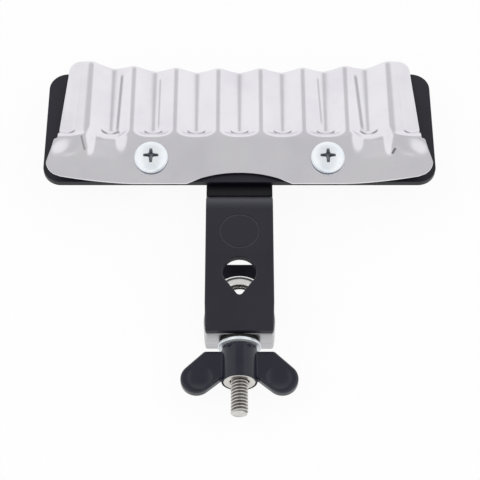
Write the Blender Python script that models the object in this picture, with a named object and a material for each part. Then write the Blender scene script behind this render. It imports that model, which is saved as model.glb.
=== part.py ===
"""Metal guiro: a corrugated steel scraper sheet on a black plate, carried by an eye bolt rod clamp.

Metres, +Z up. The origin is on the clamped rod's axis, halfway between the clamp's two walls.
The rod stands along Z. The wing nut looks along -Y, the scraper plate lies towards +Y.
"""

import bmesh
import bpy
from math import acos, asin, atan, atan2, cos, pi, radians, sin, sqrt
from mathutils import Matrix, Vector

# Fits and edges
SEAT_GAP = 0.0003
EDGE_ROUNDING = 0.0004
FINE_EDGE_ROUNDING = 0.0002
CORNER_STEPS = 6
FINE_CORNER_STEPS = 3

# Rod passage
ROD_HOLE_RADIUS = 0.0063
ROD_HOLE_LIP = 0.0004
ROD_HOLE_STEPS = 24
WALL_GAP = 0.0127

# Clamp strap, bent from one flat bar
STRAP_THICKNESS = 0.003
STRAP_WIDTH = 0.0255
STRAP_NOSE_NARROWING = 0.0006
STRAP_NOSE_LENGTH = 0.0065
STRAP_NOSE_TAPER = 0.005
STRAP_BEND_RADIUS = 0.0045
STRAP_BEND_STEPS = 5
STRAP_JOGGLE_WEB = 0.0015
STRAP_JOGGLE_DROP = 0.0058
STRAP_TAIL_SETBACK = 0.007
JOGGLE_TO_PLATE = 0.0036
ROD_TO_FACE = 0.0246
ROD_TO_PLATE = 0.0411
FACE_SETBACK = 0.0001
BADGE_RADIUS = 0.007
BADGE_LINE_WIDTH = 0.0004
BADGE_DEPTH = 0.00025
ROD_TO_BADGE = 0.0172

# Lower jaw
JAW_THICKNESS = 0.003
JAW_FRONT_SETBACK = 0.0022
JAW_TAIL = 0.0118
JAW_CORNER_RADIUS = 0.002

# Clamp block
BLOCK_SIDE_SETBACK = 0.0004
BLOCK_SIDE_SWELL = 0.0007
BLOCK_SWELL_SHARES = (-0.6, -0.2, 0.2, 0.6)
BLOCK_DEPTH = 0.0106
BLOCK_WEB = 0.0039
BLOCK_CORNER_ROUNDING = 0.0007
POCKET_STEPS = 40

# Eye bolt, 1/4 inch with 20 threads an inch
EYE_INNER_RADIUS = 0.0061
EYE_WIRE_RADIUS = 0.0027
EYE_STEPS = 32
EYE_WIRE_SIDES = 10
THREAD_RADIUS = 0.003175
THREAD_PITCH = 0.00127
THREAD_DEPTH = 0.00055
THREAD_SIDES = 12
THREAD_ROWS_PER_TURN = 4
THREAD_TURNS = 12
BOLT_CHAMFER = 0.0003
BOLT_END_RADIUS = 0.0029
SHANK_ROOT_SHARE = 0.6
BOLT_PAST_INSERT = 0.0122

# Washers on the eye bolt
RUBBER_RADIUS = 0.0075
RUBBER_THICKNESS = 0.0010
FLAT_WASHER_RADIUS = 0.0079
FLAT_WASHER_THICKNESS = 0.0012

# Wing nut
HUB_RADIUS = 0.0066
HUB_LENGTH = 0.0137
HUB_COLLAR_LENGTH = 0.0016
HUB_COLLAR_STEP = 0.0002
HUB_END_WALL = 0.0004
INSERT_WALL = 0.0016
INSERT_FLANGE_THICKNESS = 0.0009
INSERT_RECESS = 0.0001
WING_THICKNESS = 0.0042
WING_LOBE_RADIUS = 0.00585
WING_LOBE_STEPS = 16
WING_LOBE_REACH = 0.0155
WING_LOBE_SETBACK = 0.01235
WING_SHOULDER_REACH = 0.01375
WING_SHOULDER_SETBACK = 0.0016
WING_HEEL_RISE = 0.0031
WING_EDGE_ROUNDING = 0.0009
WING_EDGE_SEGMENTS = 2
DIMPLE_RADIUS = 0.0048
DIMPLE_DEPTH = 0.0008
DIMPLE_STEPS = 5

# Base plate
PLATE_THICKNESS = 0.0025
PLATE_CORNER_RADIUS = 0.0072
PLATE_SIDE_MARGIN = 0.0018

# Scraper sheet
SHEET_THICKNESS = 0.0008
RIDGE_PITCH = 0.01687
RIDGE_COUNT = 8
RIDGE_HEIGHT = 0.0038
RIDGE_CREST_SHARE = 0.08
RIDGE_LENGTH = 0.0342
RIDGE_BACK_FALL_SHARE = 0.2
SLOPE_SHARES = (0.08, 0.33, 0.6, 0.85)
TROUGH_END_LENGTH = 0.0054
TROUGH_END_ROUNDNESS = 2.2
TROUGH_FLOOR_ROUNDNESS = 1.6
NOTCH_SHARE = 0.08
TROUGH_END_SHARES = (0, NOTCH_SHARE - 0.001, NOTCH_SHARE + 0.001, 0.35, 0.75, 1.1)
BACK_BOW = 0.0032
BACK_BOW_POWER = 2.2
BACK_CORNER_RADIUS = 0.0035
BACK_CORNER_SHARES = (0.1, 0.3, 0.6, 1.0)
FLANGE_DEPTH = 0.0188
FLANGE_FRONT_RISE = 0.0004
FLANGE_END_REACH = 0.0068
FLANGE_END_TAPER = 0.0027
FLANGE_END_SWEEP = 0.0019
FLANGE_CORNER_RADIUS = 0.0055
FLANGE_CORNER_SHARES = (0, 0.07, 0.3, 1.0)
RIDGE_END_FLARE = 0.0026
RIDGE_END_REACH = 0.0004
SHEET_FRONT_OVERHANG = 0.0014
PLATE_PAST_SHEET = 0.0003
ARCH_HALF_WIDTH = 0.0203
ARCH_DEPTH = 0.0049
ARCH_ROUNDNESS = 2.1
END_LIFT = 0.0040
END_LIFT_START = 0.040
END_BEND_POWER = 1.6

# Screws that hold the sheet down
SCREW_SPACING = 0.0682
SCREW_FROM_FRONT = 0.0100
SCREW_RADIUS = 0.0025
SCREW_HEAD_RADIUS = 0.0065
SCREW_HEAD_RIM = 0.0011
SCREW_HEAD_HEIGHT = 0.0033
SCREW_DOME_DEGREES = (0, 18, 36, 54, 72)
SCREW_PAST_NUT = 0.0015
SEAT_BLEND_ACROSS = 0.0034
SEAT_BLEND_ALONG = 0.0019
CROSS_LENGTH = 0.0062
CROSS_WIDTH = 0.0014
CROSS_DEPTH = 0.0020
CROSS_TAPER = 0.45
NUT_ACROSS_FLATS = 0.008
NUT_HEIGHT = 0.004
LOCK_WASHER_RADIUS = 0.0046
LOCK_WASHER_THICKNESS = 0.0013
LOCK_WASHER_SPLIT = 0.0009
SPACER_RADIUS = 0.0060

# Rivets that hold the plate on the strap
RIVET_RADIUS = 0.002
RIVET_HEAD_RADIUS = 0.0037
RIVET_HEAD_HEIGHT = 0.0016
RIVET_DOME_DEGREES = (0, 30, 60)
RIVET_ROWS_FROM_PLATE_FRONT = (0.025, 0.039)

# Screws that hold the jaw and the block under the strap
JAW_SCREW_RADIUS = 0.00125
JAW_SCREW_HEAD_RADIUS = 0.0020
JAW_SCREW_SIDE_INSET = 0.00275
JAW_SCREW_FACE_INSET = 0.0053
JAW_SCREW_BITE = 0.0020
JAW_CROSS_LENGTH = 0.0024
JAW_CROSS_WIDTH = 0.0006
JAW_CROSS_DEPTH = 0.0008

# Facets, shading and cutting
ROUND_STEPS = 28
SMALL_ROUND_STEPS = 16
SMOOTH_ANGLE = radians(35)
ROUNDED_EDGE_ANGLE = radians(40)
CUT_MARGIN = 0.002
TOUCH = 1e-7

# Colour, roughness and metallic of each material
FINISHES = {
    "black_paint": ((0.040, 0.039, 0.052), 0.45, 0.0),
    "sheet_steel": ((0.62, 0.61, 0.64), 0.30, 1.0),
    "zinc": ((0.80, 0.86, 0.92), 0.28, 1.0),
    "dark_zinc": ((0.35, 0.35, 0.37), 0.45, 1.0),
    "brushed_block": ((0.48, 0.48, 0.50), 0.35, 1.0),
    "bolt_chrome": ((0.75, 0.74, 0.72), 0.15, 1.0),
    "black_rubber": ((0.012, 0.012, 0.013), 0.80, 0.0),
    "black_plastic": ((0.030, 0.031, 0.042), 0.32, 0.0),
}

# Levels along Z
STRAP_UNDERSIDE = WALL_GAP / 2
STRAP_TOP = STRAP_UNDERSIDE + STRAP_THICKNESS
JAW_TOP = -WALL_GAP / 2
JAW_BOTTOM = JAW_TOP - JAW_THICKNESS
TAIL_TOP = STRAP_TOP - STRAP_JOGGLE_DROP
TAIL_BOTTOM = TAIL_TOP - STRAP_THICKNESS
PLATE_BOTTOM = TAIL_TOP + SEAT_GAP
PLATE_TOP = PLATE_BOTTOM + PLATE_THICKNESS
SHEET_FLOOR = PLATE_TOP + SEAT_GAP

# Places along Y
FACE_Y = -ROD_TO_FACE
STRAP_FRONT_Y = FACE_Y + FACE_SETBACK
RUBBER_Y = FACE_Y - SEAT_GAP
FLAT_WASHER_Y = RUBBER_Y - RUBBER_THICKNESS - SEAT_GAP
HUB_Y = FLAT_WASHER_Y - FLAT_WASHER_THICKNESS - SEAT_GAP
INSERT_END_Y = HUB_Y - HUB_LENGTH + INSERT_RECESS
BOLT_TIP_Y = INSERT_END_Y - BOLT_PAST_INSERT
SHEET_FRONT_Y = ROD_TO_PLATE - SHEET_FRONT_OVERHANG
LIP_Y = SHEET_FRONT_Y + FLANGE_DEPTH
SHEET_BACK_Y = LIP_Y + RIDGE_LENGTH
PLATE_BACK_Y = SHEET_BACK_Y + PLATE_PAST_SHEET
SCREW_Y = SHEET_FRONT_Y + SCREW_FROM_FRONT

# Sizes that follow from the ones above
EYE_OUTER_RADIUS = EYE_INNER_RADIUS + 2 * EYE_WIRE_RADIUS
POCKET_RADIUS = EYE_OUTER_RADIUS + SEAT_GAP
EYE_Y = FACE_Y + BLOCK_WEB + POCKET_RADIUS
BOLT_HOLE_RADIUS = THREAD_RADIUS + SEAT_GAP
INSERT_FLANGE_RADIUS = HUB_RADIUS - HUB_END_WALL - SEAT_GAP
BLOCK_WIDTH = STRAP_WIDTH - 2 * BLOCK_SIDE_SETBACK
RIDGE_HALF_WIDTH = RIDGE_COUNT * RIDGE_PITCH / 2
LAST_RIDGE_X = RIDGE_HALF_WIDTH - RIDGE_PITCH / 2
FLANGE_HALF_WIDTH = RIDGE_HALF_WIDTH + FLANGE_END_REACH
PLATE_LENGTH = 2 * (FLANGE_HALF_WIDTH + PLATE_SIDE_MARGIN)
SCREW_X = SCREW_SPACING / 2
SEAT_HALF_WIDTH = SCREW_HEAD_RADIUS + SEAT_GAP
NOTCH_Y = LIP_Y + TROUGH_END_LENGTH * NOTCH_SHARE
JAW_SCREW_X = BLOCK_WIDTH / 2 - JAW_SCREW_SIDE_INSET
JAW_SCREW_Y = FACE_Y + JAW_SCREW_FACE_INSET

TOWARDS_NUT = (pi / 2, 0, 0)
DOWNWARDS = (pi, 0, 0)
UPRIGHT = (0, 0, 0)


def clear_scene():
    for obj in list(bpy.data.objects):
        bpy.data.objects.remove(obj, do_unlink=True)


def finish(name):
    """One plain Principled material, from its line in the table of finishes."""
    colour, roughness, metallic = FINISHES[name]
    material = bpy.data.materials.new(name)
    material.use_nodes = True
    shader = material.node_tree.nodes["Principled BSDF"]
    shader.inputs["Base Color"].default_value = (*colour, 1.0)
    shader.inputs["Roughness"].default_value = roughness
    shader.inputs["Metallic"].default_value = metallic
    return material


def place(name, bm, material, location=(0, 0, 0), turn=UPRIGHT):
    """Turn a bmesh into a named, smooth-shaded object. An open sheet keeps its own upper side."""
    if all(edge.is_manifold for edge in bm.edges):
        bmesh.ops.recalc_face_normals(bm, faces=bm.faces[:])
    mesh = bpy.data.meshes.new(name)
    bm.to_mesh(mesh)
    bm.free()
    mesh.shade_smooth()
    mesh.set_sharp_from_angle(angle=SMOOTH_ANGLE)
    obj = bpy.data.objects.new(name, mesh)
    bpy.context.scene.collection.objects.link(obj)
    obj.location = location
    obj.rotation_euler = turn
    if material:
        mesh.materials.append(material)
    return obj


def cutter(name, bm, location=(0, 0, 0), turn=UPRIGHT):
    """A helper solid for a Boolean, kept out of the model."""
    obj = place(name, bm, None, location, turn)
    obj.hide_render = True
    obj.display_type = "WIRE"
    return obj


def combine(obj, other, operation="DIFFERENCE"):
    modifier = obj.modifiers.new(operation.lower() + "_" + other.name, "BOOLEAN")
    modifier.operation = operation
    modifier.solver = "EXACT"
    modifier.object = other


def round_edges(obj, width):
    modifier = obj.modifiers.new("edges", "BEVEL")
    modifier.width = width
    modifier.segments = 1
    modifier.limit_method = "ANGLE"
    modifier.angle_limit = ROUNDED_EDGE_ANGLE


def turned(profile, steps=ROUND_STEPS, closed=False):
    """Spin (radius, height) points about Z. An open profile starts and ends on the axis."""
    bm = bmesh.new()
    verts = [bm.verts.new((radius, 0, height)) for radius, height in profile]
    edges = [bm.edges.new(pair) for pair in zip(verts, verts[1:])]
    if closed:
        edges.append(bm.edges.new((verts[-1], verts[0])))
    bmesh.ops.spin(bm, geom=verts + edges, cent=(0, 0, 0), axis=(0, 0, 1), angle=2 * pi,
                   steps=steps, use_merge=True, use_duplicate=False)
    bmesh.ops.remove_doubles(bm, verts=bm.verts[:], dist=TOUCH)
    return bm


def ring(outer, inner, thickness, rounding, steps=ROUND_STEPS):
    """A flat ring from z = 0 up, with its outer edges eased."""
    return turned([
        (inner, 0),
        (outer - rounding, 0),
        (outer, rounding),
        (outer, thickness - rounding),
        (outer - rounding, thickness),
        (inner, thickness),
    ], steps, closed=True)


def rod(radius, bottom, top, steps=SMALL_ROUND_STEPS):
    return turned([(0, bottom), (radius, bottom), (radius, top), (0, top)], steps)


def slab(outline, bottom, top):
    """Extrude a flat outline of (x, y) points from z = bottom to z = top."""
    bm = bmesh.new()
    face = bm.faces.new([bm.verts.new((x, y, bottom)) for x, y in outline])
    grown = bmesh.ops.extrude_face_region(bm, geom=[face])
    lifted = [item for item in grown["geom"] if isinstance(item, bmesh.types.BMVert)]
    bmesh.ops.translate(bm, verts=lifted, vec=(0, 0, top - bottom))
    return bm


def arc(centre, radius, start, end, steps):
    return [(centre[0] + radius * cos(start + (end - start) * step / steps),
             centre[1] + radius * sin(start + (end - start) * step / steps))
            for step in range(steps + 1)]


def rounded_rectangle(x_low, x_high, y_low, y_high, radius, steps=CORNER_STEPS):
    return (arc((x_high - radius, y_high - radius), radius, 0, pi / 2, steps)
            + arc((x_low + radius, y_high - radius), radius, pi / 2, pi, steps)
            + arc((x_low + radius, y_low + radius), radius, pi, 1.5 * pi, steps)
            + arc((x_high - radius, y_low + radius), radius, 1.5 * pi, 2 * pi, steps))


def teardrop(radius):
    """The rod hole: a circle whose front is drawn out to a square point towards the wing nut."""
    tip = (0, -radius * sqrt(2))
    return arc((0, 0), radius, -pi / 4, 1.25 * pi, ROD_HOLE_STEPS) + [tip]


def teardrop_cutter(name, bottom, top, lip_level):
    """A teardrop prism that opens out where it meets the outer face at lip_level."""
    bm = slab(teardrop(ROD_HOLE_RADIUS), bottom, top)
    direction = 1 if lip_level > (bottom + top) / 2 else -1
    flare = 1 + (ROD_HOLE_LIP + CUT_MARGIN) / ROD_HOLE_RADIUS
    bmesh.ops.bisect_plane(bm, geom=bm.verts[:] + bm.edges[:] + bm.faces[:], dist=TOUCH,
                           plane_co=(0, 0, lip_level - direction * ROD_HOLE_LIP), plane_no=(0, 0, 1))
    end = top if direction > 0 else bottom
    rim = [vert for vert in bm.verts if abs(vert.co.z - end) < TOUCH]
    bmesh.ops.scale(bm, verts=rim, vec=(flare, flare, 1))
    return cutter(name, bm)


def cross_cutter(name, length, width, depth, location, turn=UPRIGHT):
    """A tapered cross, open upwards, with its mouth at z = 0 and its floor at -depth."""
    half, arm = width / 2, length / 2
    outline = []
    for quarter in range(4):
        turn_about = Matrix.Rotation(quarter * pi / 2, 2)
        outline += [tuple(turn_about @ Vector(point)) for point in ((arm, -half), (arm, half), (half, half))]
    bm = slab(outline, -depth, 0)
    floor = [vert for vert in bm.verts if vert.co.z < -depth / 2]
    bmesh.ops.scale(bm, verts=floor, vec=(CROSS_TAPER, CROSS_TAPER, 1))
    mouth = [face for face in bm.faces if all(vert.co.z > -depth / 2 for vert in face.verts)]
    grown = bmesh.ops.extrude_face_region(bm, geom=mouth)
    lifted = [item for item in grown["geom"] if isinstance(item, bmesh.types.BMVert)]
    bmesh.ops.translate(bm, verts=lifted, vec=(0, 0, CUT_MARGIN))
    bmesh.ops.delete(bm, geom=mouth, context="FACES_ONLY")
    return cutter(name, bm, location, turn)


def drill(name, radius, bottom, top, x=0.0, y=0.0):
    return cutter(name, rod(radius, bottom, top), (x, y, 0))


def mirrored_sides():
    return (("left", -1), ("right", 1))


def strap_path():
    """The bar's middle line as (y, z) points, from its front end to its tail under the plate."""
    radius, web = STRAP_BEND_RADIUS, STRAP_JOGGLE_WEB
    across = sqrt(4 * radius * radius + web * web)
    bend = acos((2 * radius - STRAP_JOGGLE_DROP) / across) - atan(web / (2 * radius))
    top = STRAP_UNDERSIDE + STRAP_THICKNESS / 2
    joggle_length = 2 * radius * sin(bend) + web * cos(bend)
    bend_start = ROD_TO_PLATE - JOGGLE_TO_PLATE - joggle_length
    low_start = ROD_TO_PLATE - JOGGLE_TO_PLATE
    low = top - STRAP_JOGGLE_DROP
    points = [
        (STRAP_FRONT_Y, top),
        (STRAP_FRONT_Y + STRAP_NOSE_LENGTH, top),
        (STRAP_FRONT_Y + STRAP_NOSE_LENGTH + STRAP_NOSE_TAPER, top),
    ]
    for step in range(STRAP_BEND_STEPS + 1):
        angle = bend * step / STRAP_BEND_STEPS
        points.append((bend_start + radius * sin(angle), top - radius * (1 - cos(angle))))
    for step in range(STRAP_BEND_STEPS, -1, -1):
        angle = bend * step / STRAP_BEND_STEPS
        points.append((low_start - radius * sin(angle), low + radius * (1 - cos(angle))))
    points.append((PLATE_BACK_Y - STRAP_TAIL_SETBACK, low))
    return points


def make_clamp_strap(material):
    bm = bmesh.new()
    verts = [bm.verts.new((-STRAP_WIDTH / 2, y, z)) for y, z in strap_path()]
    edges = [bm.edges.new(pair) for pair in zip(verts, verts[1:])]
    grown = bmesh.ops.extrude_edge_only(bm, edges=edges)
    moved = [item for item in grown["geom"] if isinstance(item, bmesh.types.BMVert)]
    bmesh.ops.translate(bm, verts=moved, vec=(STRAP_WIDTH, 0, 0))
    nose_end = STRAP_FRONT_Y + STRAP_NOSE_LENGTH + SEAT_GAP
    nose = [vert for vert in bm.verts if vert.co.y < nose_end]
    bmesh.ops.scale(bm, verts=nose, vec=(1 - STRAP_NOSE_NARROWING / STRAP_WIDTH, 1, 1))
    strap = place("clamp_strap", bm, material)
    thicken = strap.modifiers.new("thickness", "SOLIDIFY")
    thicken.thickness = STRAP_THICKNESS
    thicken.offset = 0
    thicken.use_even_offset = True
    round_edges(strap, EDGE_ROUNDING)
    combine(strap, teardrop_cutter("strap_rod_hole", STRAP_UNDERSIDE - CUT_MARGIN, STRAP_TOP + CUT_MARGIN,
                                   STRAP_TOP))
    outer = BADGE_RADIUS + BADGE_LINE_WIDTH / 2
    groove = turned([
        (outer - BADGE_LINE_WIDTH, STRAP_TOP - BADGE_DEPTH),
        (outer, STRAP_TOP - BADGE_DEPTH),
        (outer, STRAP_TOP + CUT_MARGIN),
        (outer - BADGE_LINE_WIDTH, STRAP_TOP + CUT_MARGIN),
    ], closed=True)
    combine(strap, cutter("strap_ring_groove", groove, (0, ROD_TO_BADGE, 0)))
    return strap


def make_lower_jaw(material):
    outline = rounded_rectangle(-STRAP_WIDTH / 2, STRAP_WIDTH / 2, FACE_Y + JAW_FRONT_SETBACK, JAW_TAIL,
                                JAW_CORNER_RADIUS)
    jaw = place("lower_jaw", slab(outline, JAW_BOTTOM, JAW_TOP), material)
    round_edges(jaw, EDGE_ROUNDING)
    combine(jaw, teardrop_cutter("jaw_rod_hole", JAW_BOTTOM - CUT_MARGIN, JAW_TOP + CUT_MARGIN, JAW_BOTTOM))
    return jaw


def block_outline():
    """The block from above: a rectangle with rounded corners, whose two sides swell between them."""
    half_width, half_depth = BLOCK_WIDTH / 2, BLOCK_DEPTH / 2
    radius = BLOCK_CORNER_ROUNDING
    side = [(half_width, half_depth * share) for share in BLOCK_SWELL_SHARES]
    front = arc((half_width - radius, radius - half_depth), radius, -pi / 2, 0, FINE_CORNER_STEPS)
    back = arc((half_width - radius, half_depth - radius), radius, 0, pi / 2, FINE_CORNER_STEPS)
    right = [(x + BLOCK_SIDE_SWELL * (1 - (y / half_depth) ** 2), FACE_Y + half_depth + y)
             for x, y in front + side + back]
    return right + [(-x, y) for x, y in reversed(right)]


def make_clamp_block(material):
    half_height = WALL_GAP / 2 - SEAT_GAP
    block = place("clamp_block", slab(block_outline(), -half_height, half_height), material)
    round_edges(block, FINE_EDGE_ROUNDING)
    reach = half_height + CUT_MARGIN
    pocket = cutter("eye_pocket", rod(POCKET_RADIUS, -reach, reach, POCKET_STEPS), (0, EYE_Y, 0))
    combine(block, pocket)
    bolt_hole = cutter("block_bolt_hole", rod(BOLT_HOLE_RADIUS, -BLOCK_DEPTH, CUT_MARGIN), (0, FACE_Y, 0),
                       TOWARDS_NUT)
    combine(block, bolt_hole)
    return block


def make_eye_bolt(material):
    """Origin at the eye's centre. The shank runs along the object's own +Z, towards the nut."""
    wire_centre = EYE_INNER_RADIUS + EYE_WIRE_RADIUS
    bm = bmesh.new()
    bmesh.ops.create_circle(bm, cap_ends=False, segments=EYE_WIRE_SIDES, radius=EYE_WIRE_RADIUS,
                            matrix=Matrix.Translation((wire_centre, 0, 0)))
    bmesh.ops.spin(bm, geom=bm.verts[:] + bm.edges[:], cent=(0, 0, 0), axis=(0, 1, 0), angle=2 * pi,
                   steps=EYE_STEPS, use_merge=True, use_duplicate=False)
    eye_bolt = place("eye_bolt", bm, material, (0, EYE_Y, 0), TOWARDS_NUT)
    shank = cutter("eye_bolt_shank", threaded_shank(wire_centre), (0, EYE_Y, 0), TOWARDS_NUT)
    combine(eye_bolt, shank, "UNION")
    return eye_bolt


def threaded_shank(start):
    """A round shank with a right-hand helical thread at its free end."""
    tip = EYE_Y - BOLT_TIP_Y
    thread_end = tip - BOLT_CHAMFER
    thread_start = thread_end - THREAD_TURNS * THREAD_PITCH
    root = EYE_WIRE_RADIUS * SHANK_ROOT_SHARE

    def thread_radius(height, angle):
        phase = (height - thread_start) / THREAD_PITCH - angle / (2 * pi)
        return THREAD_RADIUS - THREAD_DEPTH * (0.5 - 0.5 * cos(2 * pi * phase))

    stations = [
        (start, lambda angle: root),
        (start + root, lambda angle: root),
        (start + EYE_WIRE_RADIUS, lambda angle: THREAD_RADIUS),
        (thread_start, lambda angle: THREAD_RADIUS),
    ]
    rows = THREAD_TURNS * THREAD_ROWS_PER_TURN
    for row in range(1, rows + 1):
        height = thread_start + (thread_end - thread_start) * row / rows
        stations.append((height, lambda angle, height=height: thread_radius(height, angle)))
    stations.append((tip, lambda angle: BOLT_END_RADIUS))

    bm = bmesh.new()
    circle = bmesh.ops.create_circle(bm, cap_ends=True, segments=THREAD_SIDES, radius=THREAD_RADIUS)
    front = [edge for edge in bm.edges]
    bmesh.ops.translate(bm, verts=circle["verts"], vec=(0, 0, start))
    shape_ring(circle["verts"], stations[0])
    for station in stations[1:]:
        grown = bmesh.ops.extrude_edge_only(bm, edges=front)
        verts = [item for item in grown["geom"] if isinstance(item, bmesh.types.BMVert)]
        front = [item for item in grown["geom"] if isinstance(item, bmesh.types.BMEdge)]
        front = [edge for edge in front if all(vert in verts for vert in edge.verts)]
        shape_ring(verts, station)
    bmesh.ops.edgeloop_fill(bm, edges=front)
    return bm


def shape_ring(verts, station):
    """Put a ring of vertices at a station's height, with the radius it gives for each angle."""
    height, radius_at = station
    for vert in verts:
        angle = atan2(vert.co.y, vert.co.x)
        radius = radius_at(angle)
        vert.co = Vector((radius * cos(angle), radius * sin(angle), height))


def make_bolt_washers(rubber_material, steel_material):
    rubber = ring(RUBBER_RADIUS, BOLT_HOLE_RADIUS, RUBBER_THICKNESS, EDGE_ROUNDING)
    place("rubber_washer", rubber, rubber_material, (0, RUBBER_Y, 0), TOWARDS_NUT)
    steel = ring(FLAT_WASHER_RADIUS, BOLT_HOLE_RADIUS, FLAT_WASHER_THICKNESS, FINE_EDGE_ROUNDING)
    place("flat_washer", steel, steel_material, (0, FLAT_WASHER_Y, 0), TOWARDS_NUT)


def tangent_angle(point, centre, radius, side):
    """Angle round the circle at which a line from the point touches it, on the given side."""
    offset = Vector(point) - Vector(centre)
    return atan2(offset.y, offset.x) + side * acos(radius / offset.length)


def wing_outline(side):
    """One wing in the nut's own (x, distance from the hub's seat) plane, from inside the hub out."""
    lobe = (WING_LOBE_REACH, WING_LOBE_SETBACK)
    shoulder = (WING_SHOULDER_REACH, WING_SHOULDER_SETBACK)
    root = BOLT_HOLE_RADIUS + INSERT_WALL / 2
    heel = (root, HUB_LENGTH - WING_HEEL_RISE)
    start = tangent_angle(shoulder, lobe, WING_LOBE_RADIUS, 1)
    sweep = (tangent_angle(heel, lobe, WING_LOBE_RADIUS, -1) - start) % (2 * pi)
    outline = [(root, WING_SHOULDER_SETBACK), shoulder]
    outline += arc(lobe, WING_LOBE_RADIUS, start, start + sweep, WING_LOBE_STEPS) + [heel]
    return [(side * x, height) for x, height in outline]


def dimple_bowl():
    """The thumb dimple's ball, which meets the wing's face at z = 0 and is closed over above it."""
    ball_radius = (DIMPLE_RADIUS ** 2 + DIMPLE_DEPTH ** 2) / (2 * DIMPLE_DEPTH)
    rim_angle = asin(DIMPLE_RADIUS / ball_radius)
    angles = [rim_angle * (step + 0.5) / DIMPLE_STEPS for step in range(DIMPLE_STEPS + 1)]
    profile = [(ball_radius * sin(angle), ball_radius * (1 - cos(angle)) - DIMPLE_DEPTH) for angle in angles]
    return turned([(0, -DIMPLE_DEPTH)] + profile + [(0, CUT_MARGIN)], SMALL_ROUND_STEPS)


def make_wing_nut(plastic, plated):
    """The moulded grip and its metal insert. Their origin is on the bolt's axis at the hub's seat."""
    seat = (0, HUB_Y, 0)
    collar = HUB_RADIUS - HUB_COLLAR_STEP
    hub = turned([
        (0, 0),
        (collar, 0),
        (collar, HUB_COLLAR_LENGTH),
        (HUB_RADIUS, HUB_COLLAR_LENGTH + HUB_COLLAR_STEP),
        (HUB_RADIUS, HUB_LENGTH - EDGE_ROUNDING),
        (HUB_RADIUS - EDGE_ROUNDING, HUB_LENGTH),
        (0, HUB_LENGTH),
    ])
    grip = place("wing_grip", hub, plastic, seat, TOWARDS_NUT)
    for side_name, side in mirrored_sides():
        wing = slab(wing_outline(side), -WING_THICKNESS / 2, WING_THICKNESS / 2)
        rims = [edge for edge in wing.edges if abs(edge.verts[0].co.z - edge.verts[1].co.z) < TOUCH]
        bmesh.ops.bevel(wing, geom=rims, affect="EDGES", offset=WING_EDGE_ROUNDING,
                        segments=WING_EDGE_SEGMENTS, profile=0.5, material=-1)
        bmesh.ops.rotate(wing, verts=wing.verts[:], cent=(0, 0, 0), matrix=Matrix.Rotation(pi / 2, 3, "X"))
        combine(grip, cutter("wing_" + side_name, wing, seat, TOWARDS_NUT), "UNION")
        for face_name, face in (("upper", 1), ("lower", -1)):
            centre = (side * WING_LOBE_REACH, HUB_Y - WING_LOBE_SETBACK, face * WING_THICKNESS / 2)
            turn = UPRIGHT if face > 0 else DOWNWARDS
            combine(grip, cutter("dimple_%s_%s" % (face_name, side_name), dimple_bowl(), centre, turn))
    insert_radius = BOLT_HOLE_RADIUS + INSERT_WALL
    flange_end = HUB_LENGTH - INSERT_RECESS
    flange_start = flange_end - INSERT_FLANGE_THICKNESS
    for name, radius, bottom in (("grip_bore", insert_radius, -CUT_MARGIN),
                                 ("grip_counterbore", INSERT_FLANGE_RADIUS, flange_start - SEAT_GAP)):
        hole = rod(radius + SEAT_GAP, bottom, HUB_LENGTH + CUT_MARGIN, ROUND_STEPS)
        combine(grip, cutter(name, hole, seat, TOWARDS_NUT))
    insert = turned([
        (BOLT_HOLE_RADIUS, 0),
        (insert_radius, 0),
        (insert_radius, flange_start),
        (INSERT_FLANGE_RADIUS, flange_start),
        (INSERT_FLANGE_RADIUS, flange_end - EDGE_ROUNDING),
        (INSERT_FLANGE_RADIUS - EDGE_ROUNDING, flange_end),
        (BOLT_HOLE_RADIUS + EDGE_ROUNDING, flange_end),
        (BOLT_HOLE_RADIUS, flange_end - EDGE_ROUNDING),
    ], closed=True)
    place("nut_insert", insert, plated, seat, TOWARDS_NUT)


def make_base_plate(material):
    outline = rounded_rectangle(-PLATE_LENGTH / 2, PLATE_LENGTH / 2, ROD_TO_PLATE, PLATE_BACK_Y,
                                PLATE_CORNER_RADIUS)
    plate = place("base_plate", slab(outline, PLATE_BOTTOM, PLATE_TOP), material)
    round_edges(plate, EDGE_ROUNDING)
    return plate


def flange_front(x):
    """How far the sheet's front edge lies behind its foremost line, at x."""
    reach = abs(x)
    arch = ARCH_DEPTH * max(0.0, 1 - (reach / ARCH_HALF_WIDTH) ** ARCH_ROUNDNESS)
    beyond = max(0.0, reach - END_LIFT_START) / (FLANGE_HALF_WIDTH - END_LIFT_START)
    return arch + FLANGE_END_SWEEP * beyond ** END_BEND_POWER


def back_bow(x):
    """How far the back edge lies behind its middle, at x: it bows back, then rounds off at the corner."""
    reach = abs(x)
    bow = BACK_BOW * (reach / RIDGE_HALF_WIDTH) ** BACK_BOW_POWER
    into = min(BACK_CORNER_RADIUS, max(0.0, reach - (sheet_end(SHEET_BACK_Y) - BACK_CORNER_RADIUS)))
    return bow - (BACK_CORNER_RADIUS - sqrt(BACK_CORNER_RADIUS ** 2 - into ** 2))


def sheet_end(y):
    """Half the sheet's width at y: the ridged part, then the wider flange with its round corner."""
    if y > NOTCH_Y:
        back = (y - NOTCH_Y) / (SHEET_BACK_Y - NOTCH_Y)
        return RIDGE_HALF_WIDTH + RIDGE_END_REACH + RIDGE_END_FLARE * (1 - back)
    corner_y = SHEET_FRONT_Y + FLANGE_CORNER_RADIUS
    if y > corner_y:
        return FLANGE_HALF_WIDTH - FLANGE_END_TAPER * (y - corner_y) / (NOTCH_Y - corner_y)
    drop = FLANGE_CORNER_RADIUS - sqrt(max(0.0, FLANGE_CORNER_RADIUS ** 2 - (corner_y - y) ** 2))
    return FLANGE_HALF_WIDTH - drop


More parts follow.
